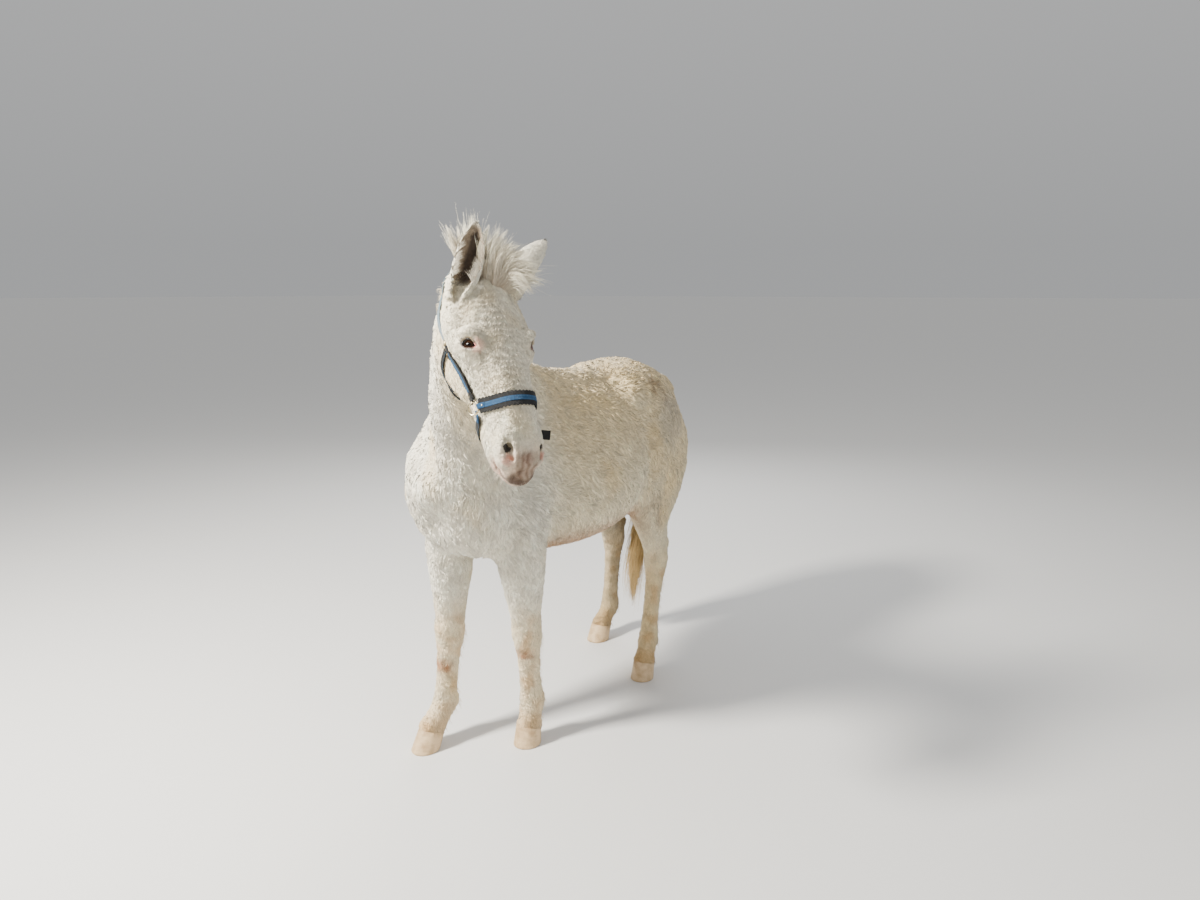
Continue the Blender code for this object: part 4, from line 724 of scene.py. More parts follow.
def lock(root, start, finish, length, width, thickness, face, sway=0.0):
    """The sections of a flat tapered lock of hair that bends from one direction to another."""
    place, rings = np.array(root, float), []
    for k in range(LOCK_SEGMENTS + 1):
        t = k / LOCK_SEGMENTS
        bend = t * t * (3 - 2 * t)
        way = unit((1 - bend) * np.array(start) + bend * np.array(finish))
        side = unit(np.cross(way, face))
        thin = unit(np.cross(side, way))
        half = width / 2 * (0.64 + 1.5 * t - 2.08 * t * t)
        deep = thickness / 2 * (1 - 0.75 * t)
        middle = place + sway * math.sin(2.6 * math.pi * t) * t * side
        rings.append([middle + a * half * side + b * deep * thin for a, b in LOCK_SECTION])
        place = place + way * length / LOCK_SEGMENTS
    return np.array(rings)


# How many locks each growth of long hair has, and how deep their roots are sunk
FORELOCK_LOCKS = 17
POLL_LOCKS = 4
MANE_LOCKS = 28
TAIL_LOCKS = 15
SUNK = 0.014
# The shares of the crest between which the mane grows
MANE_START = 0.14
MANE_END = 0.78
# The forelock fans out between these: towards the mule's left, towards its front left, and up
FAN_SIDE = towards(-0.566, 0.825, 0)
FAN_FRONT = towards(0.825, 0.566, 0)
UP = towards(0, 0, 1)


def fan_lock(limbs, root, degrees, lift, length, width):
    """A lock that rises from the poll and turns to its place in the fan."""
    root = settle(limbs, [root])[0]
    normal = slopes(limbs, np.array([root]))[0][0]
    angle = math.radians(degrees)
    finish = unit(math.cos(angle) * FAN_SIDE + math.sin(angle) * UP + lift * FAN_FRONT)
    start = unit(0.60 * UP + 0.60 * finish + 0.25 * FAN_FRONT)
    return lock(root - SUNK * normal, start, finish, length, width, 0.013, FAN_FRONT, 0.004)


def forelock(limbs, chance):
    """Locks that rise between the ears, fan out and fall over to the left, and short ones behind."""
    locks = []
    for i in range(FORELOCK_LOCKS):
        share = (i + 0.5) / FORELOCK_LOCKS
        row = i % 3
        root = on_head(-0.006 + 0.024 * row, 0.000, -0.014 + 0.074 * share + 0.008 * (row - 1))
        degrees = 76 - 122 * share + chance.uniform(-7, 7)
        length = 0.166 - 0.022 * share - 0.010 * row + chance.uniform(-0.012, 0.012)
        locks.append(fan_lock(limbs, root, degrees, 0.28 - 0.14 * row, length, 0.036))
    for i in range(POLL_LOCKS):
        share = (i + 0.5) / POLL_LOCKS
        root = on_head(-0.044, -0.034, -0.056 + 0.046 * share)
        degrees = 130 - 40 * share + chance.uniform(-5, 5)
        length = 0.150 + chance.uniform(-0.015, 0.012)
        locks.append(fan_lock(limbs, root, degrees, -0.35, length, 0.030))
    return locks


def crest_line(count):
    """Places and directions along the top of the neck, from behind the poll to the withers."""
    rows = through(NECK[::-1], 8)
    places = [at(*row[:3]) for row in rows]
    ways = unit(np.gradient(np.array(places), axis=0))
    line = []
    for i in range(count):
        k = min(int((i + 0.5) / count * (len(rows) - 1)), len(rows) - 2)
        t = (i + 0.5) / count * (len(rows) - 1) - k
        place = places[k] + t * (places[k + 1] - places[k])
        rise = unit(RISE - (RISE @ ways[k]) * ways[k])
        depth = rows[k][4] + t * (rows[k + 1][4] - rows[k][4])
        line.append((place + rise * depth, rise, ways[k], (i + 0.5) / count))
    return line


def mane(limbs, chance):
    """Short locks that stand along the crest and lean over to the left."""
    locks = []
    for place, rise, way, share in crest_line(MANE_LOCKS):
        if not MANE_START < share < MANE_END:
            continue
        side = 0.012 * (-1) ** len(locks) + chance.uniform(-0.004, 0.004)
        side = max(side, 0.004) if share < 0.30 else side
        turned = unit(np.cross(way, rise))
        turned = turned if turned @ LEFT > 0 else -turned
        root = settle(limbs, [place + side * turned])[0]
        normal = slopes(limbs, np.array([root]))[0][0]
        start = unit(normal + (0.15 + 10 * side) * turned + 0.35 * way)
        finish = unit(0.15 * normal + (0.7 + 14 * side) * turned + chance.uniform(0.7, 1.1) * way)
        length = (0.118 + chance.uniform(-0.014, 0.014)) * (1 - 0.35 * share)
        locks.append(lock(root - SUNK * normal, start, finish, length, 0.046, 0.012, turned))
    return locks


# The line down the middle of the tail below its dock
TAIL_LINE = DOCK[1:] + [
    (-0.756, -0.032, 0.76, 0.0), (-0.742, -0.058, 0.57, 0.0), (-0.726, -0.082, 0.39, 0.0),
    (-0.716, -0.092, 0.25, 0.0), (-0.71, -0.092, 0.13, 0.0),
]
TAIL_SEGMENTS = 5
TAIL_LOCK = (0.044, 0.014)
# Down the tail's line: how far its locks lie from the line
TAIL_DOWN = (0.10, 0.25, 0.55, 0.80, 1.00)
TAIL_REACH = (0.022, 0.026, 0.040, 0.026, 0.004)
# Along a lock: its width as a share of the widest
LOCK_ALONG = (0.0, 0.15, 0.50, 0.80, 1.00)
LOCK_WIDTHS = (0.70, 1.00, 1.00, 0.62, 0.08)
# The turn between neighbouring locks round the tail
TAIL_TURN = 2.4


def tail_locks(chance):
    """Locks that hang round the dock and down the tail's line to its tip."""
    line = through([list(row) for row in TAIL_LINE], 6)
    places = np.array([at(*row[:3]) for row in line])
    runs = runs_of(places)
    whole = runs[-1]

    def on_line(run):
        """The place at a distance down the line."""
        return np.array([np.interp(run, runs, places[:, j]) for j in range(3)])

    locks = []
    for i in range(TAIL_LOCKS):
        angle = TAIL_TURN * i
        start = (0.14 + 0.46 * i / TAIL_LOCKS) * whole
        longest = whole * chance.uniform(0.94, 1.0)
        stop = min(start + (0.62 - 0.10 * math.cos(angle)) * whole, longest)
        rings = []
        for t in np.linspace(0, 1, TAIL_SEGMENTS + 1):
            run = start + t * (stop - start)
            middle = on_line(run)
            way = unit(on_line(run + 0.01) - middle) if run < whole - 0.011 else towards(0.07, 0, -1)
            reach = np.interp(run / whole, TAIL_DOWN, TAIL_REACH) * min(1.0, 0.35 + 2.6 * t)
            side = unit(LEFT - (LEFT @ way) * way)
            back = np.cross(way, side)
            turn = angle + 0.5 * t
            spoke = math.cos(turn) * side + math.sin(turn) * back
            flat = np.cross(way, spoke)
            half = TAIL_LOCK[0] / 2 * np.interp(t, LOCK_ALONG, LOCK_WIDTHS)
            deep = TAIL_LOCK[1] / 2 * (1 - 0.7 * t)
            middle = middle + reach * spoke * (0.8 + 0.25 * math.sin(5.3 * i))
            rings.append([middle + a * half * flat + b * deep * spoke for a, b in LOCK_SECTION])
        locks.append(np.array(rings))
    return locks


# The halter, on the head: along, out, aside
RING = (0.355, -0.105, 0.070)
CHEEK = (0.148, -0.140, 0.088)
RING_MAJOR = 0.0175
CHEEK_MAJOR = 0.0140
RING_MINOR = 0.0026
# The room between the coat and a strap, and the little more under a ring
CLEAR = 0.0032
RING_SLACK = 0.0005


def over(limbs, line, count, height, pulled=True):
    """A path of even steps that lies at a height over the flesh, or hangs free where not pulled."""
    points = through([on_head(*p) for p in line], 8)
    for _ in range(2):
        points = trimmed(settle(limbs, points, height, rounds=7, pulled=pulled), 0, 0, count)
    return points


def trimmed(points, start, stop, count=0):
    """A path of even steps with a length taken off each end."""
    runs = runs_of(points)
    return spaced(points, runs, np.linspace(start, runs[-1] - stop, count or len(points)))


def halter_rings(limbs):
    """The middle, normal and radius of each ring, by kind and side."""
    rings = {}
    for name, y in SIDES:
        for kind, place, major in (("ring", RING, RING_MAJOR), ("cheek_ring", CHEEK, CHEEK_MAJOR)):
            rest = [on_head(*on_side(place, y))]
            centre = settle(limbs, rest, CLEAR + RING_MINOR + RING_SLACK)[0]
            normal = slopes(limbs, np.array([centre]), 0.01)[0][0]
            rings[f"{kind}_{name}"] = (centre, normal, major)
    return rings


# How far a strap stops short of a ring's middle
RING_END = RING_MAJOR + RING_MINOR + 0.0016
CHEEK_END = CHEEK_MAJOR + RING_MINOR + 0.0016
# Half of each strap that goes round the head, from its left ring to the head's middle
NOSE_ROUTE = [RING, (0.369, -0.060, 0.076), (0.378, -0.015, 0.050), (0.381, 0.002, 0.0)]
CHIN_ROUTE = [RING, (0.385, -0.150, 0.055), (0.405, -0.190, 0.032), (0.410, -0.203, 0.0)]
CROWN_ROUTE = [
    CHEEK, (0.062, -0.142, 0.098), (0.000, -0.128, 0.086), (-0.042, -0.096, 0.056), (-0.058, -0.072, 0.0),
]
THROAT_ROUTE = [
    CHEEK, (0.165, -0.190, 0.092), (0.196, -0.245, 0.072), (0.226, -0.278, 0.036), (0.234, -0.288, 0.0),
]


def round_head(route):
    """A strap's route from the right side over to the left, from half of it."""
    return [on_side(place, -1) for place in route] + route[-2::-1]


def halter_straps(limbs):
    """The path, width and thickness of each strap."""
    nose = trimmed(over(limbs, round_head(NOSE_ROUTE), 26, CLEAR), RING_END, RING_END)
    chin = trimmed(over(limbs, round_head(CHIN_ROUTE), 24, CLEAR), RING_END, RING_END)
    crown = trimmed(over(limbs, round_head(CROWN_ROUTE), 32, CLEAR), CHEEK_END, CHEEK_END)
    throat = over(limbs, round_head(THROAT_ROUTE), 28, CLEAR + 0.0012, False)
    straps = {
        "noseband": (nose, 0.036, 0.006), "chin_strap": (chin, 0.025, 0.003),
        "crown_strap": (crown, 0.025, 0.003),
        "throat_strap": (trimmed(throat, CHEEK_END, CHEEK_END), 0.018, 0.003),
    }
    for name, y in SIDES:
        cheek = [RING, (0.298, -0.110, 0.082), (0.220, -0.122, 0.098), CHEEK]
        path = over(limbs, [on_side(place, y) for place in cheek], 14, CLEAR)
        straps[f"cheek_strap_{name}"] = (trimmed(path, RING_END, CHEEK_END), 0.030, 0.0050)
    return straps


# How deep the coat lies on the body, the legs, the face, the ears, and the lids and muzzle
BODY_COAT = 0.0100
LEG_COAT = 0.0046
FACE_COAT = 0.0034
EAR_COAT = 0.0016
LID_COAT = 0.0010


def ease(value, start, stop):
    """Rises smoothly from 0 at start to 1 at stop."""
    t = np.clip((value - start) / (stop - start), 0.0, 1.0)
    return t * t * (3 - 2 * t)


# The plane between neck and head
HEAD_EDGE = on_head(0.05, -0.15, 0)
HEAD_SIDE = unit(0.70 * ALONG + 0.71 * OUT)
# Where the coat is shortest, from one distance to another: both eyes and the muzzle
SHORT_COAT = (
    (on_head(*EYE), 0.032, 0.050), (on_head(*on_side(EYE, -1)), 0.032, 0.050),
    (on_head(0.52, -0.11, 0), 0.060, 0.110),
)


def head_share(x, y, z):
    """1 on the head, 0 on the neck and body."""
    reach = sum((v - c) * n for v, c, n in zip((x, y, z), HEAD_EDGE, HEAD_SIDE))
    return ease(reach, -0.05, 0.05) * ease(z, 0.90, 1.05)


def near_share(x, y, z, place, inner, outer):
    """1 within a distance of a place, 0 beyond a larger one."""
    distance = np.sqrt(sum((v - c) ** 2 for v, c in zip((x, y, z), place)))
    return 1 - ease(distance, inner, outer)


def coat_depth(x, y, z):
    """How far the skin lies under the tips of the coat."""
    legs = 1 - ease(z, 0.50, 0.85)
    depth = BODY_COAT + legs * (LEG_COAT - BODY_COAT)
    depth = depth + head_share(x, y, z) * (FACE_COAT - depth)
    for place, inner, outer in SHORT_COAT:
        depth = depth + near_share(x, y, z, place, inner, outer) * (LID_COAT - depth)
    return depth


def bare_mesh(name, points, faces):
    """A mesh from arrays of points and triangles or quads."""
    faces = np.asarray(faces)
    mesh = bpy.data.meshes.new(name)
    corners = faces.shape[1]
    mesh.vertices.add(len(points))
    mesh.vertices.foreach_set("co", np.asarray(points, np.float32).ravel())
    mesh.loops.add(faces.size)
    mesh.loops.foreach_set("vertex_index", faces.astype(np.int32).ravel())
    mesh.polygons.add(len(faces))
    mesh.polygons.foreach_set("loop_start", np.arange(0, faces.size, corners, dtype=np.int32))
    mesh.update(calc_edges=True)
    return mesh


def linked(name, data):
    """A new object of the scene."""
    obj = bpy.data.objects.new(name, data)
    bpy.context.scene.collection.objects.link(obj)
    return obj


def made_plain(obj):
    """The mesh that an object's modifier makes; the object itself goes."""
    graph = bpy.context.evaluated_depsgraph_get()
    result = bpy.data.meshes.new_from_object(obj.evaluated_get(graph), depsgraph=graph)
    bpy.data.objects.remove(obj)
    return result


def shown(mesh, name, material, slot, *nodes):
    """A smooth piece of the mule that rides on the root body and stands for nodes."""
    obj = linked(name, mesh)
    mesh.materials.clear()
    mesh.materials.append(material)
    mesh.polygons.foreach_set("use_smooth", np.ones(len(mesh.polygons), bool))
    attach(obj, "root")
    if nodes:
        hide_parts(*nodes)
    return obj


def points_of(mesh):
    co = np.empty(len(mesh.vertices) * 3, np.float32)
    mesh.vertices.foreach_get("co", co)
    return co.reshape(-1, 3).astype(float)


def normals_of(mesh):
    co = np.empty(len(mesh.vertices) * 3, np.float32)
    mesh.vertex_normals.foreach_get("vector", co)
    return co.reshape(-1, 3).astype(float)


def faces_of(mesh):
    """The corners of every triangle."""
    mesh.calc_loop_triangles()
    faces = np.empty(len(mesh.loop_triangles) * 3, np.int32)
    mesh.loop_triangles.foreach_get("vertices", faces)
    return faces.reshape(-1, 3)


def facing_out(mesh):
    """A closed mesh with its faces turned outwards."""
    work = bmesh.new()
    work.from_mesh(mesh)
    bmesh.ops.recalc_face_normals(work, faces=work.faces)
    work.to_mesh(mesh)
    work.free()
    return mesh


def tube_faces(count, around, closed=False):
    """The quads of a tube of rings, its last ring joined to the first where it is closed."""
    k, i = np.meshgrid(np.arange(count if closed else count - 1), np.arange(around), indexing="ij")
    n, j = (k + 1) % count, (i + 1) % around
    return np.stack([k * around + i, k * around + j, n * around + j, n * around + i], -1).reshape(-1, 4)


def lofted(rings, name):
    """A closed smooth-sided mesh through rings of points."""
    rings = np.array(rings)
    count, around = rings.shape[:2]
    mesh = bpy.data.meshes.new(name)
    faces = [tuple(map(int, quad)) for quad in tube_faces(count, around)]
    faces.append(tuple(reversed(range(around))))
    faces.append(tuple((count - 1) * around + i for i in range(around)))
    mesh.from_pydata(rings.reshape(-1, 3).tolist(), [], faces)
    return facing_out(mesh)


def united(mesh, others):
    """A mesh joined with others by a Boolean."""
    obj = linked("working", mesh)
    group = bpy.data.collections.new("others")
    bpy.context.scene.collection.children.link(group)
    for other in others:
        group.objects.link(bpy.data.objects.new("other", other))
    modifier = obj.modifiers.new("Boolean", "BOOLEAN")
    modifier.operation = "UNION"
    modifier.solver = "MANIFOLD"
    modifier.operand_type = "COLLECTION"
    modifier.collection = group
    result = made_plain(obj)
    for other in list(group.objects):
        bpy.data.objects.remove(other)
    bpy.data.collections.remove(group)
    return result


# The ear's skin lies inside the tips of its hair, and its wall is a thin one
EAR_SPOKES = 26
EAR_SKIN = 0.0012
EAR_SKIN_WALL = 0.0034


def ear_mesh(name):
    """The skin of one ear: an outer and an inner face rolled round its axis."""
    base, axis, opening, across = ear_frame(name)
    rings = []
    for share, half, wrap, cup in through(EAR_LEVELS, 6):
        wrap = math.radians(wrap)
        bow = EAR_BOW * math.sin(math.pi * max(share, 0)) - EAR_LEAN * share
        centre = base + share * EAR_LENGTH * axis - bow * opening
        half = half - EAR_SKIN
        wall = min(EAR_SKIN_WALL, half * 0.5)
        outer, inner = [], []
        for i in range(EAR_SPOKES + 1):
            angle = wrap * (2 * i / EAR_SPOKES - 1)
            spoke = math.sin(angle) * across - cup * math.cos(angle) * opening
            thin = wall * (1 - 0.55 * abs(2 * i / EAR_SPOKES - 1) ** 4)
            outer.append(centre + half * spoke)
            inner.append(centre + (half - thin) * spoke)
        rings.append(outer + inner[::-1])
    rings = np.array(rings)
    count, around = rings.shape[:2]
    faces = [tuple(map(int, quad)) for quad in tube_faces(count, around)]
    for start in (0, (count - 1) * around):
        for i in range(EAR_SPOKES):
            faces.append((start + i, start + i + 1, start + around - 2 - i, start + around - 1 - i))
    mesh = bpy.data.meshes.new("ear_skin")
    mesh.from_pydata(rings.reshape(-1, 3).tolist(), [], faces)
    return facing_out(mesh)


def ears_at(points):
    """How much places are on an ear, their level on it, its axis and opening, and the spoke from its axis."""
    count = len(points)
    share, level = np.zeros(count), np.zeros(count)
    axes, openings, spokes = np.zeros((count, 3)), np.zeros((count, 3)), np.ones((count, 3))
    for name in EARS:
        base, axis, opening, across = ear_frame(name)
        step = points - base
        up = step @ axis / EAR_LENGTH
        bow = EAR_BOW * np.sin(math.pi * np.clip(up, 0, 1)) - EAR_LEAN * up
        spoke = step - (step @ axis)[:, None] * axis + bow[:, None] * opening
        far = np.linalg.norm(spoke, axis=1)
        on = ease(up, 0.03, 0.16) * (1 - ease(far, 0.050, 0.062)) * (up < 1.15)
        here = on > share
        share[here], level[here] = on[here], up[here]
        axes[here], openings[here], spokes[here] = axis, opening, spoke[here]
    return share, level, axes, openings, unit(spokes)


def skin_mesh(limbs):
    """The field, taken in by the coat's depth, as one mesh with the ears."""
    axes = grid_axes(limbs, head())
    depth = coat_depth(*np.ix_(*axes))
    grid = openvdb.FloatGrid(FAR)
    grid.copyFromArray((grid_values(limbs, axes) + depth).astype(np.float32))
    points, quads = grid.convertToQuads(0.0)
    places = np.stack([np.interp(points[:, i], np.arange(len(axes[i])), axes[i]) for i in range(3)], 1)
    mesh = bare_mesh("skin", places, quads)
    return united(mesh, [ear_mesh("left"), ear_mesh("right")])


# Waves laid over each other in the noise
WAVES = 7


def waves(points, length, seed):
    """Smooth noise from -1 to 1 over places, with waves of about that length."""
    chance = np.random.default_rng(seed)
    ways = unit(chance.normal(size=(WAVES, 3))) * chance.uniform(0.7, 1.5, (WAVES, 1))
    phases = chance.uniform(0, 2 * math.pi, WAVES)
    return np.sin(points @ ways.T * (2 * math.pi / length) + phases).sum(axis=1) / WAVES * 1.6


def mixed(colours, other, share):
    """Rows drawn towards another row, or others, by a share each."""
    return colours + np.asarray(share)[:, None] * (np.array(other) - colours)


def linear(*rgb):
    """A colour given from 0 to 255 as it looks, in linear light."""
    c = np.array(rgb) / 255
    return np.where(c <= 0.04045, c / 12.92, ((c + 0.055) / 1.055) ** 2.4)


CREAM = linear(252, 238, 204)
WHITE = linear(254, 249, 232)
YELLOW = linear(248, 218, 156)
TAN = linear(212, 166, 106)
RUST = linear(164, 100, 50)
BROWN = linear(122, 84, 52)
GREY = linear(170, 162, 150)
DIRT = linear(118, 100, 78)
PINK = linear(238, 182, 160)
SKIN_GREY = linear(120, 88, 68)
LIP = linear(78, 48, 30)
EAR_GREY = linear(142, 124, 102)
# The dark of the inner ear: its own dark skin together with painted shade in the depth of the cup
EAR_DARK_AND_SHADE = linear(58, 42, 30)
LID_DARK = linear(30, 22, 20)
STRAW = linear(176, 146, 96)
MUD = linear(82, 66, 50)
# Stains on the left flank and thigh: place, reach and strength
FLANK_STAINS = (
    ((-0.371, 0.196, 1.227), 0.07, 0.75), ((-0.430, 0.216, 1.174), 0.06, 0.65),
    ((-0.374, 0.219, 0.717), 0.16, 0.45),
)


def body_place(points):
    """Forward, left and up of places in the row frame."""
    return CENTRE_FORWARD - points[:, 1], points[:, 0] + CENTRE_LEFT, points[:, 2]


def head_place(points):
    """Along, out and aside of places, as on_head takes them."""
    step = (points - at(*POLL)) / HEAD_SCALE
    return step @ ALONG, step @ OUT, step @ ASIDE


def eye_place(points, side):
    """Places round one eye: to its inner corner and its upper lid in shares of the opening, and ahead."""
    looks, inner, upper = eye_axes(side)
    step = points - on_head(*on_side(EYE, side))
    return step @ inner / LIDS[1], step @ upper / LIDS[2], step @ looks


def lid_reach(points):
    """The distance from the nearer eye's middle, 1 at the lids' edge, and the place across and up there."""
    reach, level, height = np.full(len(points), 9.0), np.zeros(len(points)), np.zeros(len(points))
    for side in (1, -1):
        x, y, ahead = eye_place(points, side)
        far = np.where(ahead > 0, np.hypot(x, y - 0.12), 9.0)
        here = far < reach
        reach[here], level[here], height[here] = far[here], x[here], y[here]
    return reach, level, height


def leg_line(name, f, l, u):
    """The distance of places from the line of one leg's bones."""
    joints = (FORE_JOINTS if "front" in name else HIND_JOINTS)[name.split("_")[1]][::-1]
    ups = [j[2] for j in joints]
    ahead = np.interp(u, ups, [j[0] for j in joints])
    aside = np.interp(u, ups, [j[1] for j in joints])
    return np.hypot(f - ahead, l - aside)


# The length of one wave of the hair across the face
RIPPLE = 0.019


def ripple_phase(along, points):
    """How far places are through the face's waves of hair, in radians."""
    return along * 2 * math.pi / RIPPLE + 2.6 * waves(points, 0.075, 41)


def ripples(along, points):
    """The bands of wavy hair across the face, from -1 to 1."""
    return np.sin(ripple_phase(along, points) + 1.3 * waves(points, 0.03, 42))


def markings(points, normals):
    """The colour of the mule's coat and bare skin at places on it, layer over layer."""
    f, l, u = body_place(points)
    along, out, aside = head_place(points)
    heads = head_share(*points.T)
    body = 1 - heads

    def cloud(length, seed, low, high):
        """Soft patches, from 0 to 1."""
        return ease(waves(points, length, seed), low, high)

    def spot(place, inner, outer):
        """1 near a place, 0 away from it."""
        return near_share(*points.T, place, inner, outer)

    back = ease(normals[:, 2], -0.15, 0.75) * ease(0.42 - f, 0, 0.25)
    front = ease(f, 0.16, 0.42) * body * (1 - back)
    # The mask under is painted shade: it greys the downward-facing underside of the neck
    under = ease(-normals[:, 2], 0.1, 0.8) * ease(f, 0.3, 0.5) * ease(u, 0.95, 1.1) * body
    stain = ease(waves(points, 0.05, 6) + 0.5 * waves(points, 0.02, 16), 0.55, 1.2)
    flank = ease(u, 0.95, 1.15) * ease(-f, 0.25, 0.42) * body
    belly = ease(-normals[:, 2], 0.35, 0.9) * (1 - ease(u, 0.80, 0.92)) * ease(u, 0.58, 0.68)
    thighs = ease(u, 0.55, 0.72) * (1 - ease(u, 0.88, 0.98)) * ease(-f, 0.30, 0.42)
    inside = ease(-normals[:, 0] * np.sign(l), 0.1, 0.8)
    layers = [
        (YELLOW, 0.6 * back * body), (YELLOW, 0.3 * ease(-f, 0.15, 0.5) * ease(u, 0.6, 0.8) * body),
        (WHITE, 0.85 * front), (GREY, 0.26 * front * cloud(0.09, 15, -0.1, 0.9)), (GREY, 0.5 * under),
        (YELLOW, 0.42 * cloud(0.22, 3, 0.15, 1.0) * body), (GREY, 0.2 * cloud(0.07, 5, 0.2, 1.0) * body),
        (BROWN, 0.55 * stain * flank), (RUST, 0.72 * belly * ease(0.32 - f, 0, 0.1)),
        (RUST, 0.75 * thighs * inside),
    ]
    for place, size, share in FLANK_STAINS:
        patch = spot(at(*place), 0.2 * size, size)
        layers.append((BROWN, share * patch * ease(waves(points, 0.035, 61) + patch, 0.2, 1.2)))
    line = np.array([row[:3] for row in TAIL_LINE])[::-1]
    off = np.hypot(f - np.interp(u, line[:, 2], line[:, 0]), l - np.interp(u, line[:, 2], line[:, 1]))
    dock = (1 - ease(off, 0.045, 0.07)) * (1 - ease(u, 0.96, 1.04)) * (f < -0.68)
    legs = 1 - ease(u, 0.40, 0.60)
    knees = ease(u, 0.322, 0.342) * (1 - ease(u, 0.356, 0.376)) * (leg_line("front_left", f, l, u) < 0.12)
    lower = ease(u, 0.262, 0.285) * (1 - ease(u, 0.305, 0.330)) * (leg_line("front_right", f, l, u) < 0.12)
    ahead = ease(-normals[:, 1], -0.1, 0.7)
    on_hind_right = leg_line("hind_right", f, l, u) < 0.16
    dirty = on_hind_right * (1 - ease(u, 0.62, 0.80))
    hock = on_hind_right * ease(u, 0.2, 0.26) * (1 - ease(u, 0.40, 0.48))
    layers += [
        (GREY, 0.55 * spot(at(-0.498, 0.216, 1.100), 0.05, 0.17)),
        # The tail's dock is as straw-coloured as its hair
        (STRAW, 0.95 * dock),
        (YELLOW, 0.45 * legs),
        (TAN, 0.50 * legs * cloud(0.06, 8, -0.2, 0.9)),
        (RUST, 0.85 * (knees + lower) * ahead * np.clip(0.75 + 0.4 * waves(points, 0.03, 18), 0, 1)),
        # Pasterns and the edges of the hooves
        (TAN, 0.50 * (1 - ease(u, 0.09, 0.17))),
        (BROWN, 0.40 * (1 - ease(u, 0.066, 0.082))),
        (DIRT, 0.55 * dirty * (0.75 + 0.25 * waves(points, 0.05, 19))),
        (MUD, 0.60 * hock * ease(normals[:, 1], -0.2, 0.7)),
    ]
    # The face: warm at the cheeks and poll, with taupe painted shade in the hollows of its wavy hair
    wavy = heads * ease(out, -0.09, -0.03) * ease(along, 0.02, 0.07) * (1 - ease(along, 0.36, 0.42))
    # The muzzle: peach round the mouth, streaked grey-brown between the nostrils, dark along the lips
    drift = waves(points, 0.05, 23)
    middle = 1 - ease(np.abs(aside - 0.004), 0.026, 0.046)
    snout = heads * ease(along + 0.012 * drift, 0.498, 0.535) * ease(out, -0.140, -0.100) * middle
    bars = 0.82 + 0.18 * np.sin(aside * 330 + 2.6 * drift)
    layers += [
        (WHITE, 0.55 * heads), (YELLOW, 0.22 * heads * cloud(0.10, 21, -0.2, 0.9)),
        (YELLOW, 0.40 * heads * (1 - ease(out, -0.17, -0.08)) * (1 - ease(along, 0.26, 0.36))),
        (EAR_GREY, 0.24 * wavy * ease(ripples(along, points), 0.1, 1.0)),
        (PINK, heads * ease(along, 0.470, 0.535) * (0.30 + 0.18 * drift)), (SKIN_GREY, 0.85 * snout * bars),
    ]
    # Pink nostril rims, and painted shade darkening the inside of each nostril
    for side, spread in ((1, 0.056), (-1, 0.046)):
        layers.append((PINK, 0.85 * spot(on_head(0.521, -0.074, spread * side), 0.010, 0.022)))
        layers.append((LID_DARK, 0.95 * spot(on_head(0.490, -0.066, 0.045 * side), 0.013, 0.018)))
    lips = heads * ease(along, 0.545, 0.558) * (1 - ease(np.abs(out + 0.106), 0.010, 0.024))
    mouth = 1 - ease(np.abs(out + 0.136 - 0.45 * (along - 0.52)), 0.003, 0.009)
    # The lids: pink round the inner corner, kept faint round the left eye as painted shade, dark along their
    # edge
    reach, level, height = lid_reach(points)
    around = 1 - ease(reach, 1.5, 2.3)
    # The ears: pale outside and along the rim, grey inside with a dark stripe along the deepest part of the
    # cup and at its base: the inner skin's own grey deepened by painted shade
    on, up, axes, openings, spokes = ears_at(points)
    within = on * ease(-np.sum(normals * spokes, axis=1), -0.1, 0.35)
    depth = -np.sum(spokes * openings, axis=1)
    layers += [
        (PINK, 0.55 * spot(on_head(0.515, -0.150, 0.0), 0.045, 0.075) * heads),
        (LIP, 0.80 * np.maximum(lips, 0.8 * (heads * ease(along, 0.46, 0.50) * mouth))),
        (EAR_GREY, 0.8 * spot(on_head(0.234, -0.025, -0.080), 0.003, 0.008)),
        (PINK, 0.60 * around * ease(level, 0.45, 1.1) * np.where(aside > 0, 0.2, 1.0)),
        (EAR_GREY, 0.35 * around * ease(-height, 0.2, 1.0) * (1 - ease(level, 0.2, 0.8))),
        (LID_DARK, 0.85 * (1 - ease(reach, 1.08, 1.38)) * (1 - 0.8 * ease(level, 0.70, 1.00))),
        (WHITE, 0.5 * on),
        (EAR_GREY, 0.95 * within * ease(depth, -0.62, -0.38) * (1 - 0.8 * ease(up, 0.90, 1.0))),
        (EAR_DARK_AND_SHADE, 0.90 * within * ease(depth, 0.62, 0.92) * (1 - ease(up, 0.78, 0.95))),
        (EAR_DARK_AND_SHADE, 0.75 * within * (1 - ease(up, 0.08, 0.26))),
    ]
    colours = np.tile(CREAM, (len(points), 1))
    for colour, share in layers:
        colours = mixed(colours, colour, share)
    return np.clip(colours, 0, 1)


def paint(mesh, colours):
    """Colours of every vertex, carried as the attribute Markings."""
    layer = mesh.color_attributes.new("Markings", "FLOAT_COLOR", "POINT")
    whole = np.concatenate([np.clip(colours, 0, 1), np.ones((len(colours), 1))], axis=1)
    layer.data.foreach_set("color", whole.astype(np.float32).ravel())


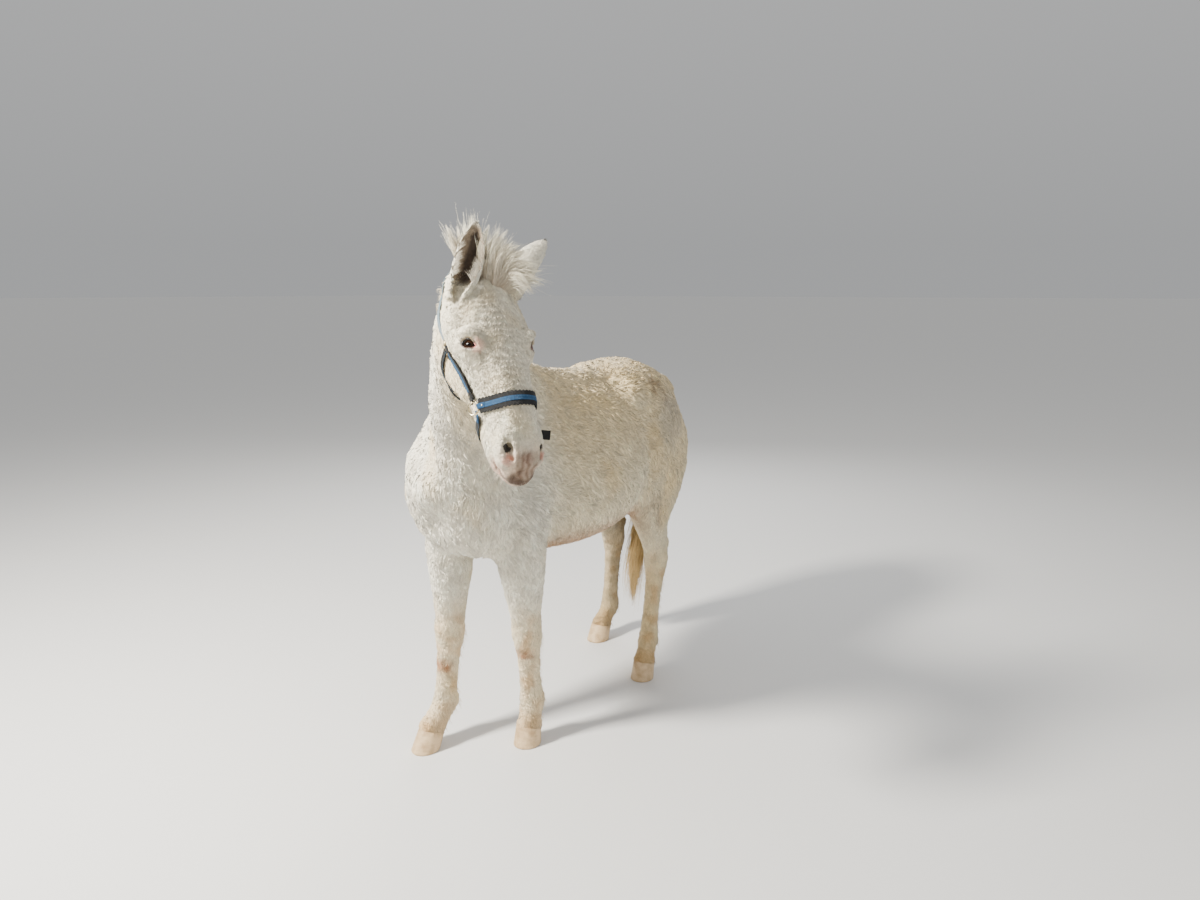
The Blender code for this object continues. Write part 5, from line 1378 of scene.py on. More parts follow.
def lie_of_hair(points, normals):
    """The way the hair lies at places on the skin, along the surface."""
    f, l, u = body_place(points)
    along, out, aside = head_place(points)
    down = towards(0, 0, -1)
    way = towards(-1, 0, 0) + 0.0 * points
    way = way + 0.55 * ease(np.abs(normals[:, 0]), 0.2, 0.9)[:, None] * down
    sideways = 0.5 * np.sign(aside)[:, None] * ASIDE * ease(np.abs(aside), 0, 0.05)[:, None]
    for other, share in (
        (down, ease(-f, 0.35, 0.62) * 0.6),
        (towards(-0.62, -0.35, -0.95), ease(f, 0.22, 0.55) * ease(u, 0.85, 1.05)),
        (down, ease(f, 0.45, 0.58) * (1 - ease(u, 0.95, 1.15))),
        (towards(-0.12, 0, -1), 1 - ease(u, 0.62, 0.95)),
        (unit(ALONG - 0.15 * OUT) + sideways, head_share(*points.T)),
    ):
        way = mixed(way, other, share)
    reach = lid_reach(points)[0]
    outward = np.zeros_like(points)
    for side in (1, -1):
        x, y, ahead = eye_place(points, side)
        looks, inner, upper = eye_axes(side)
        mine = (np.hypot(x, y - 0.12) <= reach + 1e-6)[:, None] & (ahead > 0)[:, None]
        outward = np.where(mine, x[:, None] * inner + 1.4 * y[:, None] * upper, outward)
    way = way + (1 - ease(reach, 1.6, 3.0))[:, None] * (1.2 * outward - 0.6 * way)
    on, up, axes, openings, spokes = ears_at(points)
    way = mixed(way, axes + 0.25 * openings, on)
    way = way - np.sum(way * normals, axis=1, keepdims=True) * normals
    return unit(way + 1e-9)


# Length and width of tufts: body, legs, face, more at the jaw, less at the muzzle, share lost at the
# lids, ears
TUFT_SIZES = (
    (0.034, 0.017, 0.0135, 0.01, 0.007, 0.55, 0.0085), (0.0051, 0.004, 0.0027, 0.0007, 0.001, 0.4, 0.0016),
)


def tuft_sizes(points):
    """Length and width of the tufts at places."""
    heads = head_share(*points.T)
    along, out, aside = head_place(points)
    legs = 1 - ease(points[:, 2], 0.50, 0.85)
    near = ease(along, 0.40, 0.50)
    jaw = 1 - ease(out, -0.20, -0.10)
    lids = 1 - ease(lid_reach(points)[0], 1.5, 3.5)
    on = ears_at(points)[0]
    sizes = []
    for body, leg_size, face, longer, shorter, at_lids, ear in TUFT_SIZES:
        size = body + legs * (leg_size - body)
        size = size + heads * (face + longer * jaw - shorter * near - size)
        size = size * (1 - at_lids * lids)
        sizes.append(size + on * (ear - size))
    return sizes


# Tufts laid over each patch of skin, and the most in one piece of the coat
COVER = 7.0
EAR_COVER = 4.4
MOST_TUFTS = 49000
# How far a tuft's root is sunk, and how far its tip may stand over the coat's depth
TUFT_SUNK = 0.0012
TIPS_OVER = 0.0008
# The faces of one tuft: left, right, raised middle and tip
TUFT = ((0, 1, 2), (0, 2, 3), (1, 3, 2), (0, 3, 1))
# Painted shade on a tuft's root corners and painted light on its tip, as shares of its colour, and their
# places in its patch of the unwrap
TUFT_PAINTED_SHADE = (0.78, 0.78, 1.00, 1.04)
TUFT_PATCH = ((-0.4, 0.0), (0.4, 0.0), (0.0, 0.45), (0.0, 1.0))
COAT_SLOTS = (("ears", "ear_coat"), ("head", "face_coat"), ("legs", "leg_coat"))
# The patch of its unwrap that each tuft and each hair has
PATCH = 0.0030


def tufts(points, normals, chance):
    """Thin closed tufts, four triangles each, rooted at places and laid along the hair's way."""
    count = len(points)
    heads = head_share(*points.T)
    along = head_place(points)[0]
    way = lie_of_hair(points, normals)
    across = np.cross(normals, way)
    turn = chance.normal(0, 0.20, count) + 0.35 * waves(points, 0.10, 11) + 0.60 * waves(points, 0.034, 12)
    turn = turn + 0.45 * heads * np.cos(ripple_phase(along, points))
    way = unit(way + turn[:, None] * across)
    across = np.cross(normals, way)
    length, width = tuft_sizes(points)
    depth = coat_depth(*points.T) + TIPS_OVER
    depth = depth + ears_at(points)[0] * (EAR_COAT - depth)
    length = (length * chance.uniform(0.7, 1.25, count))[:, None]
    width = (width * chance.uniform(0.7, 1.2, count))[:, None]
    lift = 0.80 + 0.50 * waves(points, 0.026, 13) + 0.30 * heads * ripples(along, points)
    rise = (depth * np.clip(lift * chance.uniform(0.6, 1.1, count), 0.25, 1.15))[:, None]
    curl = chance.normal(0, 0.12, (count, 1))
    root = points - TUFT_SUNK * normals
    left = root + 0.5 * width * across
    right = root - 0.5 * width * across
    middle = points + 0.42 * length * way + rise * normals + 0.10 * curl * length * across
    tip = points + length * way + 0.70 * rise * normals + curl * length * across
    corners = np.stack([left, right, middle, tip], axis=1).reshape(-1, 3)
    first = 4 * np.arange(count)[:, None]
    faces = np.stack([first + np.array(f) for f in TUFT], axis=1).reshape(-1, 3)
    lean = 0.85 * across
    tilt = chance.normal(0, 0.35, (count, 1)) * across + chance.normal(0.10, 0.25, (count, 1)) * way
    upright = normals + tilt
    shade = np.stack([upright + lean, upright - lean, upright, upright + 0.45 * way], axis=1).reshape(-1, 3)
    return corners, faces, unit(shade)


def part_of(points):
    """Which piece of the coat a place belongs to."""
    f, l, u = body_place(points)
    names = np.where(f > 0.42, "neck", np.where(f > 0.12, "shoulder", np.where(f > -0.28, "barrel", "rump")))
    sides = np.where(l > 0, "_left", "_right")
    names = np.char.add(names.astype("U16"), np.where(f > 0.42, "", sides))
    names = np.where(u < 0.66, np.where(f > 0, "fore_legs", "hind_legs"), names)
    halves = np.where(head_place(points)[2] > 0, "head_left", "head_right")
    names = np.where(head_share(*points.T) > 0.5, halves, names)
    return np.where(ears_at(points)[0] > 0.5, "ears", names)


def spread(row):
    """Numbers brought to between 0 and 1, a little in from both."""
    return 0.02 + 0.955 * (row - row.min()) / (row.max() - row.min())


def unwrap(points, name):
    """Places on a piece's own unwrap: along its axis and round it, from 0 to 1, pairs side by side."""
    f, l, u = body_place(points)
    along, out, aside = head_place(points)
    pair = np.zeros(len(points))
    if "head" in name or "forelock" in name:
        run, angle = along, np.arctan2(aside, out + 0.08)
    elif "ears" in name:
        on, run, axes, openings, spokes = ears_at(points)
        pair = np.where(aside > 0, 1.0, 2.0)
        depth = -np.sum(spokes * openings, axis=1)
        angle = np.arctan2(np.sum(spokes * np.cross(axes, openings), axis=1), depth)
    elif "legs" in name:
        pair = np.where(l > 0, 1.0, 2.0)
        left, right = (hoof for leg, hoof in HOOVES.items() if ("front" in leg) == ("fore" in name))
        ahead, beside = (np.where(l > 0, left[i], right[i]) for i in (0, 1))
        run, angle = u, np.arctan2(l - beside, f - ahead)
    elif "neck" in name or "mane" in name:
        foot = at(0.40, 0, 1.15)
        axis = unit(at(*POLL) - foot)
        side = unit(np.cross(axis, RISE))
        step = points - foot
        run, angle = step @ axis, np.arctan2(step @ side, step @ np.cross(side, axis))
    elif "tail" in name:
        run, angle = u, np.arctan2(l + 0.06, f + 0.74)
    else:
        run, angle = f, np.arctan2(u - 0.98, l)
    second = spread(angle)
    second = np.where(pair == 0, second, second / 2 + (pair - 1) / 2)
    return np.stack([spread(run), second], axis=1)


def corner_map(mesh, name, places):
    """A map in which every corner has its vertex's place."""
    layer = mesh.uv_layers.new(name=name)
    corners = np.empty(len(mesh.loops), np.int32)
    mesh.loops.foreach_get("vertex_index", corners)
    layer.data.foreach_set("uv", places[corners].astype(np.float32).ravel())


def add_patches(mesh, places, offsets):
    """The map OFBake: every corner at its root's place on the unwrap, within a small patch."""
    corner_map(mesh, "OFBake", places + PATCH * offsets)


def scattered(points, normals, faces, chance):
    """A random place on each of these triangles, with its normal."""
    s, t = np.sqrt(chance.random(len(faces))), chance.random(len(faces))
    shares = np.stack([1 - s, s * (1 - t), s * t], axis=1)[:, :, None]
    return (points[faces] * shares).sum(axis=1), unit((normals[faces] * shares).sum(axis=1))


def coat(skin, material):
    """The coat's pieces, their tufts spread over the skin."""
    points, normals, faces = points_of(skin), normals_of(skin), faces_of(skin)
    a, b, c = (points[faces[:, i]] for i in range(3))
    area = 0.5 * np.linalg.norm(np.cross(b - a, c - a), axis=1)
    middle = (a + b + c) / 3
    piece = part_of(middle)
    length, width = tuft_sizes(middle)
    bare = lid_reach(middle)[0] < 1.25
    want = np.where(bare, 0, area / (length * width) * np.where(piece == "ears", EAR_COVER, COVER))
    chance = np.random.default_rng(21)
    for name in sorted(set(piece)):
        here = np.flatnonzero(piece == name)
        count = min(int(want[here].sum()), MOST_TUFTS)
        chosen = here[chance.choice(len(here), count, p=want[here] / want[here].sum())]
        roots, upright = scattered(points, normals, faces[chosen], chance)
        corners, tuft_faces, shade = tufts(roots, upright, chance)
        mesh = bare_mesh(f"coat_{name}", corners, tuft_faces)
        streak = 1 + 0.07 * waves(roots, 0.045, 51) + 0.07 * waves(roots, 0.016, 52)
        shades = (chance.uniform(0.86, 1.06, count) * streak)[:, None] * markings(roots, upright)
        # Each tuft's colour is darkened at its root and lightened at its tip: painted shade and painted light
        paint(mesh, np.stack([share * shades for share in TUFT_PAINTED_SHADE], axis=1).reshape(-1, 3))
        add_patches(mesh, np.repeat(unwrap(roots, name), 4, axis=0), np.tile(TUFT_PATCH, (count, 1)))
        slot = next((slot for part, slot in COAT_SLOTS if part in name), "body_coat")
        shown(mesh, f"coat_{name}", material, slot)
        mesh.normals_split_custom_set_from_vertices(shade.tolist())


def tubes(lines, thick):
    """Three-sided closed tubes along lines, with a radius at each place."""
    ways = unit(np.gradient(lines, axis=1))
    first = unit(np.cross(ways, np.array([0.31, 0.52, 0.79])))
    second = np.cross(ways, first)
    turns = (0, 2.094, 4.189)
    spokes = [math.cos(t) * first + math.sin(t) * second for t in turns]
    points = np.stack([lines + thick[..., None] * spoke for spoke in spokes], axis=2)
    count, rows = lines.shape[:2]
    size = 3 * rows
    quads = tube_faces(rows, 3)
    caps = np.array([[0, 2, 1], [size - 3, size - 2, size - 1]])
    whole = np.concatenate([quads[:, [0, 1, 2]], quads[:, [0, 2, 3]], caps])
    faces = size * np.arange(count)[:, None, None] + whole[None]
    return points.reshape(-1, 3), faces.reshape(-1, 3)


def hair_mesh(name, lines, thick, colours, unwrapped):
    """A piece of single hairs along lines, each hair with one colour and one patch of its unwrap."""
    points, faces = tubes(lines, thick)
    mesh = bare_mesh(name, points, faces)
    count, rows = lines.shape[:2]
    share = np.tile(np.repeat(np.linspace(0, 1, rows), 3), count)
    paint(mesh, np.repeat(colours.reshape(-1, 3), 3 if colours.ndim == 3 else 3 * rows, axis=0))
    offsets = np.stack([np.tile([-0.3, 0.0, 0.3], count * rows), share], axis=1)
    add_patches(mesh, np.repeat(unwrap(lines[:, 0], unwrapped), 3 * rows, axis=0), offsets)
    return mesh


# Places along a long hair and along a fine one, and the farthest that a hair strays from its lock
HAIR_ROWS = 10
FINE_ROWS = 6
MOST_STRAY = 0.032


def strands(locks, each, radius, chance, splay=0.30, stray=0.05):
    """The lines and radii of fine strands that follow locks, each lock a row of three-cornered sections."""
    found, widths = [], []
    share = np.linspace(0, 1, HAIR_ROWS)
    for rings in locks:
        rows = through(rings.reshape(len(rings), -1), 3)
        steps = np.linspace(0, 1, len(rows))
        rows = spaced(rows, steps, share).reshape(-1, 3, 3)
        middle = rows.mean(axis=1)
        length = np.linalg.norm(np.diff(middle, axis=0), axis=1).sum()
        weights = chance.dirichlet((0.8, 0.8, 0.8), each)
        offsets = np.einsum("sj,kjd->skd", weights, rows - middle[:, None])
        drift = chance.normal(0, stray * length, (each, 1, 3)) * (share**2)[None, :, None] * 2.2
        drift = np.clip(drift * chance.random((each, 1, 1)) ** 3, -MOST_STRAY, MOST_STRAY)
        reach = chance.uniform(0.66, 1.03, each)
        lines = middle[None] + offsets * (1 + splay * share)[None, :, None] + drift
        ripple = np.sin(share[None] * chance.uniform(5, 11, (each, 1)) + chance.uniform(0, 6, (each, 1)))
        sway = (0.008 * length * ripple * share[None])[:, :, None]
        lines = lines + sway * unit(chance.normal(size=(each, 1, 3)))
        cut = np.clip(share[None, :] * reach[:, None], 0, 1)
        found.append(np.stack([spaced(lines[s], share, cut[s]) for s in range(each)]))
        widths.append(radius * (1 - 0.88 * share**1.4)[None] * chance.uniform(0.6, 1.25, (each, 1)))
    return np.concatenate(found), np.concatenate(widths)


def long_hair(name, locks, each, radius, chance, material, root_colour, tip_colour, *nodes, **looks):
    """A growth of long hair, its colour changing from root to tip and from lock to lock."""
    lines, thick = strands(locks, each, radius, chance, **looks)
    count, rows = lines.shape[:2]
    share = np.linspace(0, 1, rows)[None, :, None]
    tone = chance.uniform(0.78, 1.08, (count, 1, 1))
    tone = tone * (1 + 0.10 * waves(lines[:, 0], 0.03, 31))[:, None, None]
    mix = np.clip(0.15 + 1.1 * share + 0.35 * waves(lines[:, 3], 0.05, 32)[:, None, None], 0, 1)
    colours = (np.array(root_colour) * (1 - mix) + np.array(tip_colour) * mix) * tone
    shown(hair_mesh(name, lines, thick, colours, name), name, material, "long_hair", *nodes)


def bent(roots, ways, lengths, fall, chance):
    """Lines of single hairs that leave roots and bend towards fall."""
    share = np.linspace(0, 1, FINE_ROWS)[None, :, None]
    lengths = np.asarray(lengths)[:, None, None] * chance.uniform(0.75, 1.15, (len(roots), 1, 1))
    stray = chance.normal(0, 0.10, (len(roots), 1, 3))
    return roots[:, None] + lengths * (share * ways[:, None] + share**2 * (0.5 * np.asarray(fall) + stray))


def picked(points, normals, faces, mask, count, chance):
    """Places spread over the triangles that a mask names."""
    here = np.flatnonzero(mask)
    a, b, c = (points[faces[here, i]] for i in range(3))
    area = np.linalg.norm(np.cross(b - a, c - a), axis=1)
    chosen = here[chance.choice(len(here), count, p=area / area.sum())]
    return scattered(points, normals, faces[chosen], chance)


# How many single hairs there are
EAR_HAIRS = 620
WHISKERS = 150
FRINGES = 900


def fine_hairs(skin, material):
    """The hair in the ears, the lashes, the whiskers, and the fringes behind the legs."""
    points, normals, faces = points_of(skin), normals_of(skin), faces_of(skin)
    middle, facing = points[faces].mean(axis=1), unit(normals[faces].mean(axis=1))
    chance = np.random.default_rng(77)

    def grown(name, lines, radius, colours, unwrapped, slot):
        """Single hairs as a piece."""
        taper = 1 - 0.9 * np.linspace(0, 1, FINE_ROWS) ** 1.5
        thick = np.repeat((radius * taper)[None], len(lines), axis=0)
        shown(hair_mesh(name, lines, thick, colours, unwrapped), name, material, slot)

    along, out, aside = head_place(middle)
    f, l, u = body_place(middle)
    on, up, axes, openings, spokes = ears_at(middle)
    depth = -np.sum(spokes * openings, axis=1)
    rim = (on > 0.8) & (depth < -0.05) & (up < 0.80) & (up > 0.08)
    roots, outward = picked(points, normals, faces, rim, EAR_HAIRS, chance)
    on, up, axes, openings, spokes = ears_at(roots)
    ways = unit(0.85 * axes - 0.55 * spokes + 0.40 * openings)
    lines = bent(roots, ways, 0.030 - 0.014 * up, -0.5 * spokes[:, None], chance)
    colours = np.tile(linear(236, 228, 210), (EAR_HAIRS, 1)) * chance.uniform(0.8, 1.05, (EAR_HAIRS, 1))
    grown("ear_hair", lines, 0.0005, colours, "ears", "ear_coat")
    # Lashes stand along the upper lid
    edges, ways = [], []
    for side in (1, -1):
        looks, inner, upper = eye_axes(side)
        front = on_head(*on_side(EYE, side)) + (LIDS[0] + 0.001) * looks
        for x, height, lift in through(LID_LINE, 14):
            if -0.95 < x < 0.75:
                edges.append(front + x * LIDS[1] * inner + (lift + height + 0.06) * LIDS[2] * upper)
                ways.append(unit(0.75 * looks + 0.50 * upper + 0.35 * x * inner))
    edges, ways = np.repeat(edges, 2, axis=0), np.repeat(ways, 2, axis=0)
    lines = bent(edges, ways, np.full(len(edges), 0.011), -0.3 * UP, chance)
    grown("lashes", lines, 0.00035, np.tile(linear(206, 190, 164), (len(lines), 1)), "head", "face_coat")
    chin = (head_share(*middle.T) > 0.9) & (along > 0.44) & (out < -0.10)
    roots, outward = picked(points, normals, faces, chin, WHISKERS, chance)
    lines = bent(roots, unit(outward + 0.3 * ALONG), np.full(WHISKERS, 0.024), -0.4 * UP, chance)
    grown("whiskers", lines, 0.0003, np.tile(linear(224, 212, 192), (WHISKERS, 1)), "head", "face_coat")
    # Fringes behind the knees, the cannons and the fetlocks
    behind = (u < 0.42) & (facing[:, 1] > 0.35) & (u > 0.07)
    roots, outward = picked(points, normals, faces, behind, FRINGES, chance)
    lines = bent(roots, unit(0.6 * outward - 0.9 * UP), np.full(FRINGES, 0.026), -0.3 * UP, chance)
    colours = markings(roots, outward) * chance.uniform(0.80, 1.02, (FRINGES, 1))
    grown("leg_fringes", lines, 0.0006, colours, "fore_legs_hind_legs", "leg_coat")


# Places round a hoof
HOOF_SPOKES = 72


def hoof_mesh(name):
    """A hoof with faint growth rings, from its flat sole to its coronet."""
    forward, left, turn = HOOVES[name]
    top_forward, top_left, top_up = coronet(name)
    c, s = math.cos(turn), math.sin(turn)
    rows = [(0.0, 0.95, 0.0), (0.0, 0.985, 0.0015)]
    for level in np.linspace(0, 1, 30):
        rows.append((level, 1.0 + 0.008 * math.sin(38 * level) + 0.004 * math.sin(83 * level), None))
    rings = []
    for level, swell, up in rows:
        ring = []
        half, deep = (foot + level * (top - foot) for foot, top in zip(SOLE, CORONET))
        for i in range(HOOF_SPOKES):
            angle = 2 * math.pi * i / HOOF_SPOKES
            ahead, aside = math.cos(angle), math.sin(angle)
            chip = 1 - 0.010 * (1 - level) * math.sin(5 * angle + turn * 40) * math.sin(9 * angle)
            f = deep * swell * chip * (1 if ahead > 0 else 0.9) * ahead
            l = half * swell * chip * aside * (1 + 0.08 * ahead)
            f, l = f * c - l * s, f * s + l * c
            height = 0.005 + level * (top_up + CORONET_TILT * f - 0.005) if up is None else up
            middle = forward + level * (top_forward - forward), left + level * (top_left - left)
            ring.append(at(middle[0] + f, middle[1] + l, height))
        rings.append(ring)
    return lofted(rings, f"hoof_{name}")


def eye_mesh(side):
    """An eyeball whose front lies just under the edges of the lids, with its iris and long pupil."""
    looks, inner, upper = eye_axes(side)
    centre = on_head(*on_side(EYE, side))
    work = bmesh.new()
    bmesh.ops.create_uvsphere(work, u_segments=72, v_segments=48, radius=EYE_RADIUS - 0.0010)
    mesh = bpy.data.meshes.new("eye")
    work.to_mesh(mesh)
    work.free()
    turn = Matrix([inner, upper, looks]).transposed().to_4x4()
    mesh.transform(Matrix.Translation(Vector(centre)) @ turn)
    mesh = facing_out(mesh)
    step = points_of(mesh) - centre
    x, y = step @ inner / EYE_RADIUS, step @ upper / EYE_RADIUS
    spokes = np.sin(26 * np.arctan2(y, x)) * 0.12 + np.sin(61 * np.arctan2(y, x)) * 0.08
    colours = np.tile(linear(34, 21, 14), (len(step), 1))
    for colour, share in (
        (linear(52, 32, 20), np.clip(0.35 + spokes, 0, 1)),
        # The long pupil, the iris's dark rim, and the pink of the inner corner, kept faint on the left eye as
        # painted shade
        (linear(8, 7, 8), 1 - ease(np.hypot(x / 0.42, y / 0.22), 0.85, 1.1)),
        (linear(24, 16, 14), ease(np.hypot(x, y), 0.52, 0.60)),
        (linear(150, 96, 84), (0.2 if side > 0 else 0.8) * ease(x, 0.74, 0.90)),
    ):
        colours = mixed(colours, colour, share)
    paint(mesh, colours)
    return mesh


# Places round the rim of the lids
LID_SPOKES = 10
# Depths over the eye's middle at which the skin is looked for, from inside the head outwards; which of
# them is taken where no skin is found, and the last that may be
LID_DEPTHS = np.linspace(0.034, 0.012, 45)
LID_MISSED = 26
LID_LAST = 30


def lid_mesh(side, limbs):
    """The moist rim of the lids round one eye."""
    looks, inner, upper = eye_axes(side)
    rows = through(LID_LINE, 8)
    high = [(x, lift + height) for x, height, lift in rows]
    low = [(x, lift - height) for x, height, lift in rows[::-1]]
    loop = np.array(high + low)
    across, up = 1.06 * loop[:, :1] * LIDS[1] * inner, 1.08 * loop[:, 1:] * LIDS[2] * upper
    starts = on_head(*on_side(EYE, side)) + across + up
    lines = starts[:, None] + LID_DEPTHS[None, :, None] * looks
    inside = values(limbs, lines.reshape(-1, 3)).reshape(len(starts), -1) < -LID_COAT
    first = np.clip(np.where(inside.any(axis=1), inside.argmax(axis=1), LID_MISSED), 0, LID_LAST)
    smooth = [np.median(np.take(first, range(i - 3, i + 4), mode="wrap")) for i in range(len(first))]
    depths = np.interp(smooth, range(len(LID_DEPTHS)), LID_DEPTHS)[:, None]
    centre = starts + depths * looks - 0.0004 * looks
    ways = unit(np.roll(centre, -1, axis=0) - np.roll(centre, 1, axis=0))
    aside = np.cross(ways, looks)
    thick = (0.0013 + 0.0005 * (loop[:, 1] > 0.1))[:, None]
    rings = []
    for angle in 2 * math.pi * np.arange(LID_SPOKES) / LID_SPOKES:
        rings.append(centre + thick * (math.cos(angle) * aside + 0.8 * math.sin(angle) * looks))
    points = np.stack(rings, axis=1).reshape(-1, 3)
    mesh = facing_out(bare_mesh("lid", points, tube_faces(len(loop), LID_SPOKES, closed=True)))
    level, height = np.repeat(loop, LID_SPOKES, axis=0).T
    colours = mixed(np.tile(LID_DARK, (len(level), 1)), linear(132, 108, 100), 0.55 * (height < 0))
    # The pink of the inner corner is kept faint on the left eye as painted shade
    corner = ease(level, 0.70, 0.98) * (0.3 if side > 0 else 1.0)
    paint(mesh, mixed(colours, linear(220, 138, 128), corner))
    return mesh


def section_of(path, limbs):
    """Each place's way along a strap, across it and up from the coat."""
    normals = slopes(limbs, path, 0.004)[0]
    ways = unit(np.gradient(path, axis=0))
    sides = unit(np.cross(ways, normals))
    return sides, unit(np.cross(sides, ways))


# How far apart a band's sections are, and how long each scallop of its fleece is
BAND_STEP = 0.0020
FLEECE_TUFT = 0.011


def band_mesh(path, sides, tops, left, right, low, high, name, scallop=0.0, swell=0.0):
    """A flat band along a path between two places across it and two heights, its edges rounded."""
    runs = runs_of(path)
    count = max(int(runs[-1] / BAND_STEP), 24)
    even = np.linspace(0, runs[-1], count)
    path, sides, tops = (spaced(rows, runs, even) for rows in (path, sides, tops))
    edge = [(0.0, 0.25), (0.0, 0.75), (0.02, 0.95), (0.06, 1.0)]
    inner = [(x, 1.0) for x in (0.25, 0.5, 0.75)]
    top = edge + inner + [(1 - x, y) for x, y in edge[::-1]]
    outline = top + [(0.98, 0.02), (0.5, 0.0), (0.02, 0.02)]
    rings, across = [], []
    for k in range(count):
        wave = scallop * abs(math.sin(math.pi * even[k] / FLEECE_TUFT)) if scallop else 0.0
        ring = []
        for x, y in outline:
            place = left - wave + x * (right - left + 2 * wave)
            crown = swell * math.sin(math.pi * x) if y > 0.5 else 0.0
            ring.append(path[k] + place * sides[k] + (low + y * (high - low) + crown) * tops[k])
        rings.append(ring)
        across.append([left + x * (right - left) for x, y in outline])
    mesh = lofted(rings, name)
    flat = np.stack([np.repeat(even, len(outline)), np.array(across).ravel()], axis=1)
    corner_map(mesh, "Strap", flat * 10)
    return mesh


# Places round a ring and round its wire
RING_STEPS = 56
WIRE_STEPS = 14


def torus_mesh(centre, normal, major, minor, name):
    """A ring of round wire."""
    normal = unit(normal)
    first = unit(np.cross(normal, ALONG))
    second = np.cross(normal, first)
    points = []
    for a in 2 * math.pi * np.arange(RING_STEPS) / RING_STEPS:
        spoke = math.cos(a) * first + math.sin(a) * second
        for b in 2 * math.pi * np.arange(WIRE_STEPS) / WIRE_STEPS:
            points.append(centre + (major + minor * math.cos(b)) * spoke + minor * math.sin(b) * normal)
    faces = tube_faces(RING_STEPS, WIRE_STEPS, closed=True)
    return facing_out(bare_mesh(name, np.array(points), faces))


def dome_mesh(centre, normal, radius, name):
    """The round head of a rivet."""
    first = unit(np.cross(normal, ALONG))
    second = np.cross(normal, first)
    rings = []
    for level, reach in ((-0.4, 0.9), (0.0, 1.0), (0.12, 1.0), (0.32, 0.86), (0.46, 0.60), (0.54, 0.25)):
        spokes = [math.cos(a) * first + math.sin(a) * second for a in 2 * math.pi * np.arange(20) / 20]
        rings.append([centre + radius * (reach * spoke + level * normal) for spoke in spokes])
    return lofted(rings, name)


def joined_nodes(tree, kind, settings=None, **inputs):
    """A node with its settings, each input either a value or another node's output."""
    made = tree.nodes.new(kind)
    for key, value in (settings or {}).items():
        setattr(made, key, value)
    for key, value in inputs.items():
        by_number = key[0] == "i" and key[1:].isdigit()
        socket = made.inputs[int(key[1:]) if by_number else key]
        if isinstance(value, bpy.types.NodeSocket):
            tree.links.new(value, socket)
        else:
            socket.default_value = value
    return made


class Group:
    """A shader node group with named sockets, and short ways to fill it."""

    def __init__(self, name, inputs, outputs):
        self.tree = bpy.data.node_groups.new(name, "ShaderNodeTree")
        for way, labels in (("INPUT", inputs), ("OUTPUT", outputs)):
            for label in labels:
                kind = "NodeSocketColor" if "olour" in label else "NodeSocketFloat"
                self.tree.interface.new_socket(label, in_out=way, socket_type=kind)
        self.given = self.tree.nodes.new("NodeGroupInput").outputs
        self.gives = self.tree.nodes.new("NodeGroupOutput").inputs

    def add(self, kind, operation=None, out=0, **inputs):
        """One output of a new node."""
        settings = {"operation": operation} if operation else None
        return joined_nodes(self.tree, f"ShaderNode{kind}", settings, **inputs).outputs[out]

    def noise(self, scale, detail):
        place = self.add("TexCoord", out="Object")
        return self.add("TexNoise", Vector=place, Scale=scale, Detail=detail)

    def ranged(self, value, low, high, new_low, new_high):
        return self.add("MapRange", Value=value, i1=low, i2=high, i3=new_low, i4=new_high)

    def done(self, **sockets):
        """The tree, with its outputs joined."""
        for label, socket in sockets.items():
            self.tree.links.new(socket, self.gives[label])
        return self.tree


# What soils a coat, and what webbing fades to
SOIL = (*linear(196, 170, 132), 1)
FADED = (*linear(148, 152, 150), 1)


def hair_tone_group():
    """Fine streaks and faint soiling over a coat's own colour."""
    group = Group("hair_tone", ("Colour", "Scale", "Soiling"), ("Colour", "Roughness", "Height"))
    given = group.given
    fine, broad = group.noise(given["Scale"], 4.0), group.noise(9.0, 5.0)
    tone = group.ranged(fine, 0.3, 0.7, 0.90, 1.05)
    lit = group.add("VectorMath", "SCALE", i0=given["Colour"], Scale=tone)
    share = group.add("Math", "MULTIPLY", i0=group.ranged(broad, 0.48, 0.75, 0.0, 1.0), i1=given["Soiling"])
    soiled = group.add("MixRGB", Fac=share, Color1=lit, Color2=SOIL)
    rough = group.ranged(fine, 0.3, 0.7, 0.62, 0.86)
    return group.done(Colour=soiled, Roughness=rough, Height=fine)


def weave_group():
    """The crossing threads of webbing, from the strap's own map."""
    group = Group("strap_weave", ("Colour", "Threads", "Fading"), ("Colour", "Height"))
    given = group.given
    place = joined_nodes(group.tree, "ShaderNodeUVMap", {"uv_map": "Strap"}).outputs[0]
    across, down = (
        joined_nodes(
            group.tree, "ShaderNodeTexWave", {"bands_direction": way},
            Vector=place, Scale=given["Threads"], Distortion=0.6,
        ).outputs["Fac"]
        for way in "XY"
    )
    both = group.add("Math", "MULTIPLY", i0=across, i1=down)
    tone = group.ranged(both, 0.0, 1.0, 0.72, 1.12)
    threads = group.add("VectorMath", "SCALE", i0=given["Colour"], Scale=tone)
    worn = group.ranged(group.noise(60.0, 5.0), 0.45, 0.72, 0.0, 1.0)
    share = group.add("Math", "MULTIPLY", i0=worn, i1=given["Fading"])
    return group.done(Colour=group.add("MixRGB", Fac=share, Color1=threads, Color2=FADED), Height=both)


def wear_group():
    """Scuffs and grain for horn and metal: a darker or lighter second colour, and a rougher surface."""
    inputs = ("Colour", "Worn colour", "Scale", "Smoothness")
    group = Group("scuffs", inputs, ("Colour", "Roughness", "Height"))
    given = group.given
    grain = group.noise(given["Scale"], 6.0)
    share = group.ranged(grain, 0.42, 0.68, 0.0, 1.0)
    colour = group.add("MixRGB", Fac=share, Color1=given["Colour"], Color2=given["Worn colour"])
    rough = group.add("Math", "MULTIPLY", i0=share, i1=0.25)
    rough = group.add("Math", "ADD", i0=rough, i1=given["Smoothness"])
    return group.done(Colour=colour, Roughness=rough, Height=grain)


